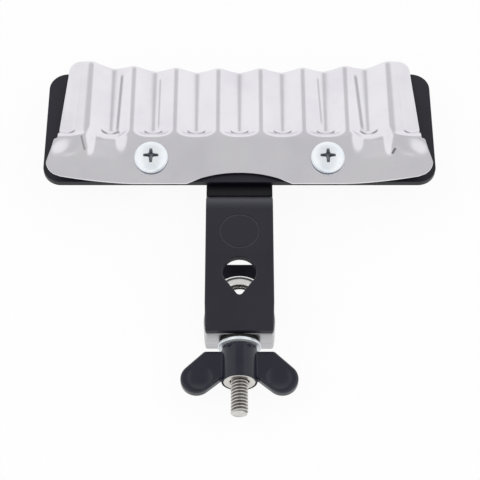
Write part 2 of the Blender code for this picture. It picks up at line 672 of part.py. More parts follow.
def flange_height(y):
    """Height of the flange's plane over the valleys, level with the ridges from the lip back."""
    share = min(1.0, max(0.0, (y - SHEET_FRONT_Y) / FLANGE_DEPTH))
    return FLANGE_FRONT_RISE + (RIDGE_HEIGHT - FLANGE_FRONT_RISE) * share


def end_lift(x):
    beyond = max(0.0, abs(x) - END_LIFT_START) / (FLANGE_HALF_WIDTH - END_LIFT_START)
    return END_LIFT * beyond ** END_BEND_POWER


def trough_depth(x, y):
    """How far the sheet is pressed down at (x, y), between two ridges and behind the lip."""
    from_ridge = 2 * abs((x / RIDGE_PITCH) % 1.0 - 0.5)
    down_slope = max(0.0, (from_ridge - RIDGE_CREST_SHARE) / (1 - RIDGE_CREST_SHARE))
    down_end = min(1.0, max(0.0, (y - LIP_Y) / TROUGH_END_LENGTH))
    wall = (1 - down_slope) ** TROUGH_END_ROUNDNESS + (1 - down_end) ** TROUGH_END_ROUNDNESS
    wall = min(1.0, wall ** (1 / TROUGH_END_ROUNDNESS))
    return RIDGE_HEIGHT * (1 - wall ** TROUGH_FLOOR_ROUNDNESS)


def seat_share(x, y):
    """1 on the flat seat under a screw's head, falling to 0 over the blend round it."""
    across = 1 - (abs(abs(x) - SCREW_X) - SEAT_HALF_WIDTH) / SEAT_BLEND_ACROSS
    along = 1 - (abs(y - SCREW_Y) - SEAT_HALF_WIDTH) / SEAT_BLEND_ALONG
    return min(1.0, max(0.0, across)) * min(1.0, max(0.0, along))


def sheet_height(x, y):
    plane = flange_height(y)
    seat = seat_share(x, y)
    level = plane + (flange_height(SCREW_Y) - plane) * seat
    back_share = min(1.0, max(0.0, (y - LIP_Y) / RIDGE_LENGTH))
    pressed = (level - trough_depth(x, y)) * (1 - RIDGE_BACK_FALL_SHARE * back_share)
    return SHEET_FLOOR + pressed + end_lift(x) * (1 - seat)


def sheet_columns():
    """Places across the sheet where it bends: down the ridges, at the corners and by the screw seats."""
    places = {0.0, RIDGE_HALF_WIDTH}
    half_pitch = RIDGE_PITCH / 2
    for half in range(RIDGE_COUNT):
        for share in SLOPE_SHARES:
            down = share if half % 2 else 1 - share
            places.add(round((half + down) * half_pitch, 7))
        places.add(round((half + half % 2) * half_pitch, 7))
    for edge in (SEAT_HALF_WIDTH, SEAT_HALF_WIDTH + SEAT_BLEND_ACROSS):
        places.update((round(SCREW_X - edge, 7), round(SCREW_X + edge, 7)))
    places.update(round(RIDGE_HALF_WIDTH - BACK_CORNER_RADIUS * share, 7) for share in BACK_CORNER_SHARES)
    return sorted(places | {-x for x in places})


def sheet_rows():
    """Places along the sheet, front to back, where it bends."""
    trough_end = [LIP_Y + TROUGH_END_LENGTH * share for share in TROUGH_END_SHARES]
    corner = [SHEET_FRONT_Y + FLANGE_CORNER_RADIUS * share for share in FLANGE_CORNER_SHARES]
    seat = [SCREW_Y + side * (SEAT_HALF_WIDTH + blend) for side in (-1, 1) for blend in (0, SEAT_BLEND_ALONG)]
    return sorted({round(y, 7) for y in trough_end + corner + seat}) + [SHEET_BACK_Y]


def sheet_point(column, row):
    """Bend the flat (column, row) grid to the sheet's outline and height."""
    split = SCREW_Y + SEAT_HALF_WIDTH
    x = column
    if abs(column) > LAST_RIDGE_X:
        out = (abs(column) - LAST_RIDGE_X) / (RIDGE_HALF_WIDTH - LAST_RIDGE_X)
        x = LAST_RIDGE_X + out * (sheet_end(row) - LAST_RIDGE_X)
        x = x if column > 0 else -x
    y = row + back_bow(x) if row == SHEET_BACK_Y else row
    if row < split:
        front = SHEET_FRONT_Y + flange_front(x)
        y = split - (split - row) * (split - front) / (split - SHEET_FRONT_Y)
    return Vector((x, y, sheet_height(column, y) + end_lift(x) - end_lift(column)))


def make_guiro_sheet(material):
    columns, rows = sheet_columns(), sheet_rows()
    bm = bmesh.new()
    bmesh.ops.create_grid(bm, x_segments=len(columns) - 1, y_segments=len(rows) - 1, size=1)
    for vert in bm.verts:
        column = round((vert.co.x + 1) / 2 * (len(columns) - 1))
        row = round((vert.co.y + 1) / 2 * (len(rows) - 1))
        vert.co = sheet_point(columns[column], rows[row])
    sheet = place("guiro_sheet", bm, material)
    thicken = sheet.modifiers.new("thickness", "SOLIDIFY")
    thicken.thickness = SHEET_THICKNESS
    thicken.offset = 1
    thicken.use_even_offset = True
    return sheet


def make_sheet_screws(sheet, plate, zinc, dark_zinc):
    """The two cross-head screws with their spacers under the sheet and nuts under the plate."""
    seat_under = SHEET_FLOOR + flange_height(SCREW_Y)
    head_bottom = seat_under + SHEET_THICKNESS + SEAT_GAP
    washer_top = PLATE_BOTTOM - SEAT_GAP
    nut_top = washer_top - LOCK_WASHER_THICKNESS - SEAT_GAP
    shank_bottom = nut_top - NUT_HEIGHT - SCREW_PAST_NUT
    clear_radius = SCREW_RADIUS + SEAT_GAP
    dome = SCREW_HEAD_HEIGHT - SCREW_HEAD_RIM
    dome_profile = [(SCREW_HEAD_RADIUS * cos(angle), head_bottom + SCREW_HEAD_RIM + dome * sin(angle))
                    for angle in map(radians, SCREW_DOME_DEGREES)]
    for side_name, side in mirrored_sides():
        x = side * SCREW_X
        profile = [(0, shank_bottom), (SCREW_RADIUS - BOLT_CHAMFER, shank_bottom),
                   (SCREW_RADIUS, shank_bottom + BOLT_CHAMFER), (SCREW_RADIUS, head_bottom),
                   (SCREW_HEAD_RADIUS - EDGE_ROUNDING, head_bottom),
                   (SCREW_HEAD_RADIUS, head_bottom + EDGE_ROUNDING)]
        profile += dome_profile + [(0, head_bottom + SCREW_HEAD_HEIGHT)]
        screw = place("sheet_screw_" + side_name, turned(profile), zinc, (x, SCREW_Y, 0))
        combine(screw, cross_cutter("screw_cross_" + side_name, CROSS_LENGTH, CROSS_WIDTH, CROSS_DEPTH,
                                    (x, SCREW_Y, head_bottom + SCREW_HEAD_HEIGHT)))
        spacer = ring(SPACER_RADIUS, clear_radius, seat_under - SHEET_FLOOR - SEAT_GAP, FINE_EDGE_ROUNDING,
                      SMALL_ROUND_STEPS)
        place("sheet_spacer_" + side_name, spacer, dark_zinc, (x, SCREW_Y, SHEET_FLOOR))
        washer = ring(LOCK_WASHER_RADIUS, clear_radius, LOCK_WASHER_THICKNESS, FINE_EDGE_ROUNDING,
                      SMALL_ROUND_STEPS)
        lock = place("lock_washer_" + side_name, washer, zinc,
                     (x, SCREW_Y, washer_top - LOCK_WASHER_THICKNESS))
        split = slab([(0, -LOCK_WASHER_SPLIT / 2), (LOCK_WASHER_RADIUS * 2, -LOCK_WASHER_SPLIT / 2),
                      (LOCK_WASHER_RADIUS * 2, LOCK_WASHER_SPLIT / 2), (0, LOCK_WASHER_SPLIT / 2)],
                     -CUT_MARGIN, LOCK_WASHER_THICKNESS + CUT_MARGIN)
        combine(lock, cutter("washer_split_" + side_name, split,
                             (x, SCREW_Y, washer_top - LOCK_WASHER_THICKNESS)))
        corner = NUT_ACROSS_FLATS / sqrt(3)
        hexagon = [(corner * cos(pi / 3 * step), corner * sin(pi / 3 * step)) for step in range(6)]
        nut = place("hex_nut_" + side_name, slab(hexagon, nut_top - NUT_HEIGHT, nut_top), zinc,
                    (x, SCREW_Y, 0))
        combine(nut, drill("nut_bore_" + side_name, clear_radius, nut_top - NUT_HEIGHT - CUT_MARGIN,
                           nut_top + CUT_MARGIN, x, SCREW_Y))
        combine(plate, drill("plate_hole_" + side_name, clear_radius, PLATE_BOTTOM - CUT_MARGIN,
                             PLATE_TOP + SEAT_GAP / 2, x, SCREW_Y))
        combine(sheet, drill("sheet_hole_" + side_name, clear_radius, seat_under - CUT_MARGIN,
                             head_bottom + CUT_MARGIN, x, SCREW_Y))


def make_strap_rivets(plate, strap, material):
    """Four dome-headed rivets under the first ridges, through the plate and the strap's tail."""
    x_reach = RIDGE_PITCH / 2
    upper, lower = PLATE_TOP + SEAT_GAP, TAIL_BOTTOM - SEAT_GAP
    dome = [(RIVET_HEAD_RADIUS * cos(angle), RIVET_HEAD_HEIGHT * sin(angle))
            for angle in map(radians, RIVET_DOME_DEGREES)]
    profile = [(0, lower - RIVET_HEAD_HEIGHT)]
    profile += [(radius, lower - height) for radius, height in reversed(dome)]
    profile += [(RIVET_RADIUS, lower), (RIVET_RADIUS, upper)]
    profile += [(radius, upper + height) for radius, height in dome]
    profile += [(0, upper + RIVET_HEAD_HEIGHT)]
    rows = zip(("front", "back"), RIVET_ROWS_FROM_PLATE_FRONT)
    for row_name, row in rows:
        y = ROD_TO_PLATE + row
        for side_name, side in mirrored_sides():
            name = "%s_%s" % (row_name, side_name)
            x = side * x_reach
            place("strap_rivet_" + name, turned(profile, SMALL_ROUND_STEPS), material, (x, y, 0))
            hole = drill("rivet_hole_" + name, RIVET_RADIUS + SEAT_GAP, lower - CUT_MARGIN,
                         upper + CUT_MARGIN, x, y)
            combine(plate, hole)
            combine(strap, hole)


def make_jaw_screws(strap, block, jaw, material):
    """Two countersunk screws, up through the jaw and the block into blind holes in the strap."""
    head, shank = JAW_SCREW_HEAD_RADIUS, JAW_SCREW_RADIUS
    head_bottom = JAW_BOTTOM + SEAT_GAP
    cone_top = head_bottom + head - shank
    tip = STRAP_UNDERSIDE + JAW_SCREW_BITE
    profile = [(0, head_bottom), (head, head_bottom), (shank, cone_top), (shank, tip - EDGE_ROUNDING),
               (shank - EDGE_ROUNDING, tip), (0, tip)]
    hole_profile = [(0, JAW_BOTTOM - CUT_MARGIN), (head + SEAT_GAP, JAW_BOTTOM - CUT_MARGIN),
                    (head + SEAT_GAP, head_bottom), (shank + SEAT_GAP, cone_top),
                    (shank + SEAT_GAP, tip + SEAT_GAP), (0, tip + SEAT_GAP)]
    for side_name, side in mirrored_sides():
        x = side * JAW_SCREW_X
        screw = place("jaw_screw_" + side_name, turned(profile, SMALL_ROUND_STEPS), material,
                      (x, JAW_SCREW_Y, 0))
        combine(screw, cross_cutter("jaw_screw_cross_" + side_name, JAW_CROSS_LENGTH, JAW_CROSS_WIDTH,
                                    JAW_CROSS_DEPTH, (x, JAW_SCREW_Y, head_bottom), DOWNWARDS))
        hole = cutter("jaw_screw_hole_" + side_name, turned(hole_profile, SMALL_ROUND_STEPS),
                      (x, JAW_SCREW_Y, 0))
        for piece in (strap, block, jaw):
            combine(piece, hole)


def main():
    clear_scene()
    finishes = {name: finish(name) for name in FINISHES}
    paint, zinc, dark_zinc = (finishes[name] for name in ("black_paint", "zinc", "dark_zinc"))
    chrome = finishes["bolt_chrome"]

    strap = make_clamp_strap(paint)
    jaw = make_lower_jaw(paint)
    block = make_clamp_block(finishes["brushed_block"])
    make_jaw_screws(strap, block, jaw, dark_zinc)
    make_eye_bolt(chrome)
    make_bolt_washers(finishes["black_rubber"], zinc)
    make_wing_nut(finishes["black_plastic"], chrome)
    plate = make_base_plate(paint)
    make_strap_rivets(plate, strap, dark_zinc)
    sheet = make_guiro_sheet(finishes["sheet_steel"])
    make_sheet_screws(sheet, plate, zinc, dark_zinc)


main()
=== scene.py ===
"""Looks of the metal guiro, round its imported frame.

Metres, +Z up along the clamped rod, -Y towards the wing nut, +Y towards the scraper plate.
"""

from math import acos, asin, atan, atan2, copysign, cos, hypot, pi, radians, sin, sqrt

import bmesh
import bpy
from mathutils import Matrix, Vector


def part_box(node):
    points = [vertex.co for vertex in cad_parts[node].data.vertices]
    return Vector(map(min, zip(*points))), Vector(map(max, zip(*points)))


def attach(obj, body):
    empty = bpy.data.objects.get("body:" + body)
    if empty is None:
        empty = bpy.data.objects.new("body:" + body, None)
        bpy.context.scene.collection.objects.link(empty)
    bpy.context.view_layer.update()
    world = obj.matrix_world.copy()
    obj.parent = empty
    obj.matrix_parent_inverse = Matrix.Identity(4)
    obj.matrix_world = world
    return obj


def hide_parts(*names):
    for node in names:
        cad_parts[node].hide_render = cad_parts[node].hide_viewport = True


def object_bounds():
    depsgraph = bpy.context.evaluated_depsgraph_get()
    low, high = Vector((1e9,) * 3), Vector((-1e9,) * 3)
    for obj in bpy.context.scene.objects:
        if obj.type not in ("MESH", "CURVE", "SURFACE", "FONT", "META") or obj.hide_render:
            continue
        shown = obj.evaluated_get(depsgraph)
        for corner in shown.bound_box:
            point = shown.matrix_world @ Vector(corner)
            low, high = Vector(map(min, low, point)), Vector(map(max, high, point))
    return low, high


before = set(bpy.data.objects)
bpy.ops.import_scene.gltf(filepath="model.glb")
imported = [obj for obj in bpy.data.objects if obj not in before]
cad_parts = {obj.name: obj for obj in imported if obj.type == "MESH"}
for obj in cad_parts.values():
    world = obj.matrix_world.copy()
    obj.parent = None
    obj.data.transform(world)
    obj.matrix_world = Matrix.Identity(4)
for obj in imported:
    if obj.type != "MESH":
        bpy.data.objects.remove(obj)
CAD_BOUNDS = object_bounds()

# Clearance between fitted pieces, and how far a cutter reaches past a face
GAP = 0.0003
OVERCUT = 0.002

# Clamp
ROD_HOLE_RADIUS = 0.0063
ROD_HOLE_LIP = 0.0006
ROD_HOLE_TIP_ROUND = 0.0014
WALL_GAP = 0.0127
STRAP_THICKNESS = 0.003
STRAP_WIDTH = 0.0255
STRAP_NOSE_NARROWING = 0.0006
STRAP_NOSE_LENGTH = 0.0065
STRAP_NOSE_TAPER = 0.005
STRAP_NOSE_FALL = 0.00014
STRAP_BEND_RADIUS = 0.0045
STRAP_JOGGLE_WEB = 0.0015
STRAP_JOGGLE_DROP = 0.0058
STRAP_TAIL_END = 0.0860
STRAP_TOP = WALL_GAP / 2 + STRAP_THICKNESS
STRAP_EDGE = 0.00055
JOGGLE_TO_PLATE = 0.0036
STRAP_FRONT = -0.0245
ROD_TO_PLATE = 0.0411
RING_RADIUS = 0.0072
RING_LINE = 0.0007
RING_GROOVE_RADIUS = RING_LINE * 0.62
RING_GROOVE_LIFT = 0.00006
ROD_TO_RING = 0.0172
BLOCK_FRONT = -0.0246
BLOCK_HALF_WIDTH = 0.01235
BLOCK_DEPTH = 0.0106
BLOCK_CORNER = 0.0007
BLOCK_SIDE_SWELL = 0.0007
BLOCK_EDGE = 0.00025
JAW_CORNER = 0.002
JAW_EDGE = 0.0005
JAW_SCREW_SHANK = 0.00125
JAW_SCREW_RIM = 0.0001
JAW_SCREW_TIP = 0.0004
JAW_SCREW_GAP = 0.0002
JAW_SCREW_CROSS = (0.0024, 0.0006, 0.0010)
EYE_Y = -0.0089
EYE_INNER_RADIUS = 0.0061
EYE_WIRE_RADIUS = 0.0027
BOLT_TIP = -0.0535
BOLT_CHAMFER = 0.0003
THREAD_RADIUS = 0.003175
THREAD_PITCH = 0.00127
THREAD_DEPTH = 0.00062
THREAD_TURNS = 12
THREAD_ROWS = 12
THREAD_CREST_SHARE = 0.12
THREAD_FLANK_SHARE = 0.70
# Along the shank from the middle of the eye's wire: how far, and its radius there
EYE_NECK = ((-0.0010, 0.0021), (0.0014, 0.0023), (0.0024, 0.0030), (0.0032, THREAD_RADIUS))
EYE_NECK_END = 0.0012
RUBBER_EDGE = 0.0005
WASHER_EDGE = 0.0003
BOLT_HOLE_RADIUS = THREAD_RADIUS + GAP

# Wing nut
HUB_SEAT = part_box("wing_grip")[1].y
HUB_RADIUS = 0.0066
HUB_LENGTH = 0.0137
COLLAR_LENGTH = 0.0016
COLLAR_STEP = 0.0002
HUB_END_WALL = 0.0004
INSERT_WALL = 0.0016
INSERT_FLANGE_RADIUS = HUB_RADIUS - HUB_END_WALL - GAP
INSERT_FLANGE_THICKNESS = 0.0009
INSERT_RECESS = 0.0001
WING_THICKNESS = 0.0042
WING_LOBE_RADIUS = 0.00585
WING_LOBE = (0.0155, 0.01235)
WING_SHOULDER = (0.01375, 0.0016)
WING_HEEL_RISE = 0.0031
DIMPLE_RADIUS = 0.0048
DIMPLE_DEPTH = 0.0008
DIMPLE_INSET = 0.0013
DIMPLE_STEPS = 11
DIMPLE_OVERRUN = 22 / 21
HUB_EDGE = 0.0005
WING_EDGE = 0.0011
WING_FILLET = 0.0016
INSERT_EDGE = 0.0004
INSERT_MOUTH = 0.0005
MOULD_VOXEL = 0.0002
MOULD_SMOOTHING = 3

# Scraper sheet
SHEET_THICKNESS = 0.0008
RIDGE_PITCH = 0.01687
RIDGE_COUNT = 8
RIDGE_HEIGHT = 0.0038
RIDGE_CREST_SHARE = 0.08
RIDGE_LENGTH = 0.0342
RIDGE_BACK_FALL_SHARE = 0.2
TROUGH_END_LENGTH = 0.0054
OUTER_LIP_SHIFT = 0.0020
TROUGH_END_ROUNDNESS = 3.1
TROUGH_FLOOR_ROUNDNESS = 1.4
LIP_ROLL = 0.9
BACK_BOW = 0.00317
BACK_BOW_POWER = 2.2
BACK_CORNER_RADIUS = 0.0045
FLANGE_DEPTH = 0.0188
FLANGE_FRONT_RISE = 0.0004
FLANGE_RISE = RIDGE_HEIGHT - FLANGE_FRONT_RISE
FLANGE_LEAN = atan(FLANGE_RISE / FLANGE_DEPTH)
FLANGE_END_REACH = 0.0068
FLANGE_END_TAPER = 0.0027
FLANGE_END_SWEEP = 0.0019
FLANGE_CORNER_RADIUS = 0.0055
RIDGE_END_FLARE = 0.0026
RIDGE_END_REACH = 0.0004
SHEET_FRONT = 0.0397
ARCH_HALF_WIDTH = 0.0203
ARCH_DEPTH = 0.0049
ARCH_ROUNDNESS = 2.1
END_LIFT = 0.0040
END_LIFT_START = 0.040
END_BEND_POWER = 1.6
PULL_INNER = 0.0428
PULL_INNER_WALL = 0.0062
PULL_OUTER = 0.0598
PULL_OUTER_WALL = 0.0036
PULL_REACH = 0.0096
PULL_DEPTH = 0.0024
# The dish pressed into each end of the flange: its place, size, turn and depth
END_DISH = ((0.0655, 0.0532), (0.0084, 0.0050), radians(-25), 0.0011)
NOTCH_ROUND = 0.0012
SHEET_SMOOTHING = 2
SHEET_EDGE = 0.00016
HOLE_REACH = 0.006
FLANGE_ROW = 0.0006
LIP_ROW = 0.00035
LIP_BAND = 0.007
RIDGE_ROW = 0.0012
NOTCH_STEP = 0.00002
SHEET_COLUMN = 0.00042
END_COLUMN = 0.00022
SHEET_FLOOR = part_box("guiro_sheet")[0].z
LIP = SHEET_FRONT + FLANGE_DEPTH
SHEET_BACK = LIP + RIDGE_LENGTH
NOTCH = LIP - OUTER_LIP_SHIFT
RIDGE_HALF_WIDTH = RIDGE_COUNT * RIDGE_PITCH / 2
LAST_RIDGE = RIDGE_HALF_WIDTH - RIDGE_PITCH / 2
FLANGE_HALF_WIDTH = RIDGE_HALF_WIDTH + FLANGE_END_REACH

# Plate and fasteners
PLATE_CORNER = 0.0072
PLATE_EDGE = 0.00025
SCREW_X = 0.0341
SCREW_Y = 0.0497
SCREW_RADIUS = 0.0025
SCREW_HEAD_RADIUS = 0.0065
SCREW_HEAD_RIM = 0.0011
SCREW_HEAD_HEIGHT = 0.0033
SCREW_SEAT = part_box("sheet_screw_left")[1].z - SCREW_HEAD_HEIGHT
SCREW_SINK = 0.0006
SCREW_OVERLAP = 0.0002
SCREW_TIP = 0.0008
SCREW_CROSS = (0.0076, 0.0018, 0.0026)
CROSS_CUTTER_RISE = 0.001
SCREW_HEAD_FOOT = ((0.0004, 0), (0.0001, 0.0002), (0, 0.0005))
LOCK_WASHER_RADIUS = 0.0046
LOCK_WASHER_EDGE = 0.0002
LOCK_WASHER_SPLIT = radians(12)
LOCK_WASHER_SLANT = 0.4
SPLIT_STEPS = 60
NUT_FLATS = 0.008
NUT_FACE_RADIUS = NUT_FLATS / 2 * 0.96
NUT_MOUTH = 0.0014
NUT_MOUTH_DEPTH = 0.0004
NUT_MOUTH_REACH = 0.001
NUT_STEPS = 72
TOOL_MARGIN = 0.0002
RIVET_SHANK = 0.002
RIVET_RISE = 0.0016
RIVET_STEPS = 40

# Marks on the surfaces; the crease, arch, root, recess and rim marks are painted shade, the bend's is a
# painted sheen.
# A press line has two ends, a width and a strength. A pair of numbers is where a mark starts to show and
# where it is full.
PRESS_LINE_EDGE = (1.2, 0.3)
PRESS_LINES = (
    ((-0.0470, 0.0905), (-0.0479, 0.0624), 0.00075, 0.60),
    ((-0.0481, 0.0628), (-0.0468, 0.0622), 0.00060, 0.60),
    ((0.0464, 0.0902), (0.0482, 0.0634), 0.00085, 0.55),
    ((-0.0613, 0.0582), (-0.0597, 0.0522), 0.00050, 0.55),
    ((0.0603, 0.0532), (0.0589, 0.0508), 0.00060, 0.90),
    ((-0.0317, 0.0890), (-0.0318, 0.0650), 0.00045, 0.35),
    ((0.0313, 0.0895), (0.0323, 0.0670), 0.00050, 0.35),
)
CRESCENT_SETBACK = 0.0036
CRESCENT_BEND = 95
CRESCENT_EDGE = (0.0008, 0.0002)
CRESCENT_TIPS = (0.0038, 0.0030)
CRESCENT_MIDDLE = (0.0004, 0.0020)
CRESCENT_MARGIN = 0.002
RING_MARK_EDGE = (0.00045, 0.00015)
RING_MARK_LEVEL = (STRAP_TOP - 0.0016, STRAP_TOP - 0.0006)
DULL_SHANK_Y = -0.0400
BEND_SHEEN = ((0.0265, 0.0315), (0.0365, 0.0345), (0.0045, 0.0065))
ARCH_SHADE = ((0.0345, 0.0365), (0.0450, 0.0415), (0.0062, 0.0052))
ROOT_SHADE = (0.00004, 0.00042)
RECESS_SHADE = (0.00003, 0.0006)
RECESS_REACH = (0.38, 0.34)
RECESS_LEVEL = (0.0, 0.0004)
RIM_SHADE_REACH = (0.80, 0.95)
RIM_LEVEL = (0.0007, 0.0003)
RIM_FOOT = (-0.0010, -0.0004)

# Colours
STEEL, STEEL_SMUDGE, STEEL_CREASE_SHADE = (0.865, 0.85, 0.885), (0.805, 0.79, 0.84), (0.20, 0.20, 0.225)
PAINT, PAINT_CLOUD, PAINT_RING = (0.0135, 0.0130, 0.0215), (0.0165, 0.0160, 0.0250), (0.070, 0.070, 0.085)
PAINT_SHEEN, PAINT_SHADE = (0.085, 0.088, 0.100), (0.0010, 0.0010, 0.0035)
BLOCK_LINE, BLOCK_METAL = (0.44, 0.44, 0.455), (0.58, 0.58, 0.595)
CHROME, CHROME_HAZE = (1.0, 0.99, 0.975), (0.93, 0.92, 0.90)
SHANK, SHANK_HAZE, SHANK_ROOT_SHADE = (0.70, 0.68, 0.65), (0.60, 0.58, 0.55), (0.10, 0.09, 0.08)
ZINC, ZINC_CLOUD, ZINC_SHADE = (0.88, 0.94, 1.0), (0.96, 0.985, 1.0), (0.16, 0.17, 0.20)
DULL_ZINC, DULL_ZINC_CLOUD = (0.34, 0.345, 0.36), (0.46, 0.465, 0.48)
RUBBER, RUBBER_GRAIN = (0.009, 0.009, 0.010), (0.014, 0.014, 0.015)
PLASTIC, PLASTIC_CLOUD = (0.0035, 0.0050, 0.0150), (0.0055, 0.0070, 0.0190)
FLOOR_COLOUR = (0.9, 0.9, 0.9, 1.0)

# Camera, from the photograph's perspective
CAMERA_AIM = Vector((0.0002, 0.0132, 0.00935))
CAMERA_ELEVATION = radians(59)
CAMERA_DISTANCE = 0.561
CAMERA_LENS = 112.5

# Studio light, as levels of white and as directions out from the object
CEILING_LEVEL = 0.61
SIDE_LEVEL = 0.95
SIDE_LIGHT_EDGE = (0.33, 0.42)
HORIZON_TOP = 0.50
HORIZON_BLEND = 0.1
BACK_HORIZON_RISE = 0.12
BACK_BLEND = (0.0, 0.25)
SOFTBOX_PLACE = (0.75, -0.20, 0.75)
SOFTBOX_SIZE = 1.0
SOFTBOX_POWER = 1.5
SOFTBOX_AIM = Vector((0, 0.03, 0))
FLOOR_SIZE = 3.0
FLOOR_GAP = 0.0002
FLOOR_GLOW = 0.93

# Steps of a full turn, the distance at which doubled points merge, and what counts as a hard edge
FINE = 96
ROUND = 64
PLAIN = 48
SMALL = 32
TOUCH = 1e-7
HARD = radians(60)


# Shaders


class Value:
    """A number socket that takes Python's operators."""

    def __init__(self, nodes, socket):
        self.nodes, self.socket = nodes, socket

    def math(self, operation, *others):
        inputs = dict(enumerate((self, *others)))
        return self.nodes.value("ShaderNodeMath", {"operation": operation}, inputs)

    def __add__(self, other):
        return self.math("ADD", other)

    def __sub__(self, other):
        return self.math("SUBTRACT", other)

    def __rsub__(self, other):
        return self.nodes.number(other).math("SUBTRACT", self)

    def __mul__(self, other):
        return self.math("MULTIPLY", other)

    def __truediv__(self, other):
        return self.math("DIVIDE", other)

    def __abs__(self):
        return self.math("ABSOLUTE")

    __radd__ = __add__
    __rmul__ = __mul__

    def ramp(self, low, high):
        """0 at low, 1 at high, smooth between."""
        settings = {"interpolation_type": "SMOOTHSTEP"}
        inputs = {"Value": self, "From Min": low, "From Max": high, "To Min": 0.0, "To Max": 1.0}
        return self.nodes.value("ShaderNodeMapRange", settings, inputs, "Result")


class Nodes:
    """A node tree whose nodes are made by one method."""

    def __init__(self, tree):
        self.tree = tree

    def node(self, kind, settings=None, inputs=None):
        node = self.tree.nodes.new(kind)
        for key, setting in (settings or {}).items():
            setattr(node, key, setting)
        for key, given in (inputs or {}).items():
            self.feed(node.inputs[key], given)
        return node

    def feed(self, socket, given):
        if isinstance(given, Value):
            given = given.socket
        if isinstance(given, bpy.types.NodeSocket):
            self.tree.links.new(given, socket)
        else:
            socket.default_value = given

    def value(self, kind, settings=None, inputs=None, output=0):
        return Value(self, self.node(kind, settings, inputs).outputs[output])

    def number(self, amount):
        return self.value("ShaderNodeMath", {"operation": "ADD"}, {0: amount, 1: 0.0})

    def split(self, vector):
        """The x, y and z of a vector."""
        split = self.node("ShaderNodeSeparateXYZ", None, {0: vector})
        return [Value(self, output) for output in split.outputs]

    def seen_by(self, *rays):
        """1 for the rays of these kinds, 0 for all others."""
        path = self.node("ShaderNodeLightPath")
        first, *others = [Value(self, path.outputs["Is %s Ray" % ray]) for ray in rays]
        for other in others:
            first = first.math("MAXIMUM", other)
        return first


class Shader(Nodes):
    """The material of one finish, from its constants and from what changes over the surface."""

    def __init__(self, name, **constants):
        self.material = bpy.data.materials.new(name)
        self.material.use_nodes = True
        super().__init__(self.material.node_tree)
        self.surface = self.tree.nodes["Principled BSDF"]
        for socket, constant in constants.items():
            self.surface.inputs[socket.replace("_", " ")].default_value = constant

    def place(self, scale=(1, 1, 1)):
        """Object coordinates, stretched."""
        coordinates = self.node("ShaderNodeTexCoord").outputs["Object"]
        return self.node("ShaderNodeMapping", None, {"Vector": coordinates, "Scale": scale}).outputs["Vector"]

    def axes(self):
        """The object coordinates x, y and z."""
        return self.split(self.place())

    def noise(self, scale, detail=3.0, roughness=0.5, stretch=(1, 1, 1)):
        """Noise over the object; a stretched one takes its scale from the stretch."""
        place = self.place(stretch)
        inputs = {"Vector": place, "Scale": scale, "Detail": detail, "Roughness": roughness}
        return self.value("ShaderNodeTexNoise", None, inputs, "Fac")

    def blend(self, amount, first, second):
        """One colour over another by an amount."""
        node = self.node("ShaderNodeMix", {"data_type": "RGBA"})
        self.feed(node.inputs["Factor"], amount)
        for socket, colour in (("A", first), ("B", second)):
            target = [s for s in node.inputs if s.name == socket and s.type == "RGBA"][0]
            self.feed(target, colour if isinstance(colour, bpy.types.NodeSocket) else (*colour, 1.0))
        return [s for s in node.outputs if s.type == "RGBA"][0]

    def bump(self, height, distance, strength):
        inputs = {"Height": height, "Distance": distance, "Strength": strength}
        return self.node("ShaderNodeBump", None, inputs).outputs["Normal"]

    def wear(self, colour, roughness, normal):
        """Feed what changes over the surface."""
        for socket, given in (("Base Color", colour), ("Roughness", roughness), ("Normal", normal)):
            self.feed(self.surface.inputs[socket], given)
        return self.material


def sheet_steel():
    """Pressed steel: rolling grain across the sheet, soft smudges, and painted shade in the press creases."""
    shader = Shader("sheet_steel", Metallic=1.0)
    x, y, z = shader.axes()
    grain = shader.noise(1.0, 2.0, stretch=(18, 900, 200))
    smudge = shader.noise(55.0, 4.0, 0.6)
    # Painted shade: the colour is darkened in the press creases and in the crescents at the trough feet, and
    # the bump also presses them in.
    crease_shade = painted_crease_shade(x, y)
    colour = shader.blend(crease_shade, shader.blend(smudge.ramp(0.35, 0.75), STEEL, STEEL_SMUDGE), STEEL_CREASE_SHADE)
    roughness = 0.17 + grain * 0.06 + smudge * 0.06
    return shader.wear(colour, roughness, shader.bump(grain * 0.6 - crease_shade, 0.00003, 0.6))


def painted_crease_shade(x, y):
    """The thin slanting creases and the small crescents that pressing left, as one mask of painted shade."""
    mask = None
    for start, end, width, strength in PRESS_LINES:
        dx, dy = end[0] - start[0], end[1] - start[1]
        length = hypot(dx, dy)
        along = ((x - start[0]) * (dx / length) + (y - start[1]) * (dy / length)) / length
        across = abs((x - start[0]) * (dy / length) - (y - start[1]) * (dx / length))
        line = across.ramp(*(width * edge for edge in PRESS_LINE_EDGE))
        line = line * along.ramp(-0.04, 0.04) * along.ramp(1.04, 0.9) * strength
        mask = line if mask is None else mask.math("MAXIMUM", line)
    near = ((x / RIDGE_PITCH + 100.5).math("FRACT") - 0.5) * RIDGE_PITCH
    outer = abs(x).math("GREATER_THAN", LAST_RIDGE) * OUTER_LIP_SHIFT
    bow = y + outer - (LIP + CRESCENT_SETBACK) - near * near * CRESCENT_BEND
    crescent = abs(bow).ramp(*CRESCENT_EDGE) * abs(near).ramp(*CRESCENT_TIPS)
    side = abs(near).ramp(*CRESCENT_MIDDLE) * 0.7 + 0.3
    inner = abs(x).ramp(RIDGE_HALF_WIDTH, RIDGE_HALF_WIDTH - CRESCENT_MARGIN)
    return mask.math("MAXIMUM", crescent * side * inner * 0.8)


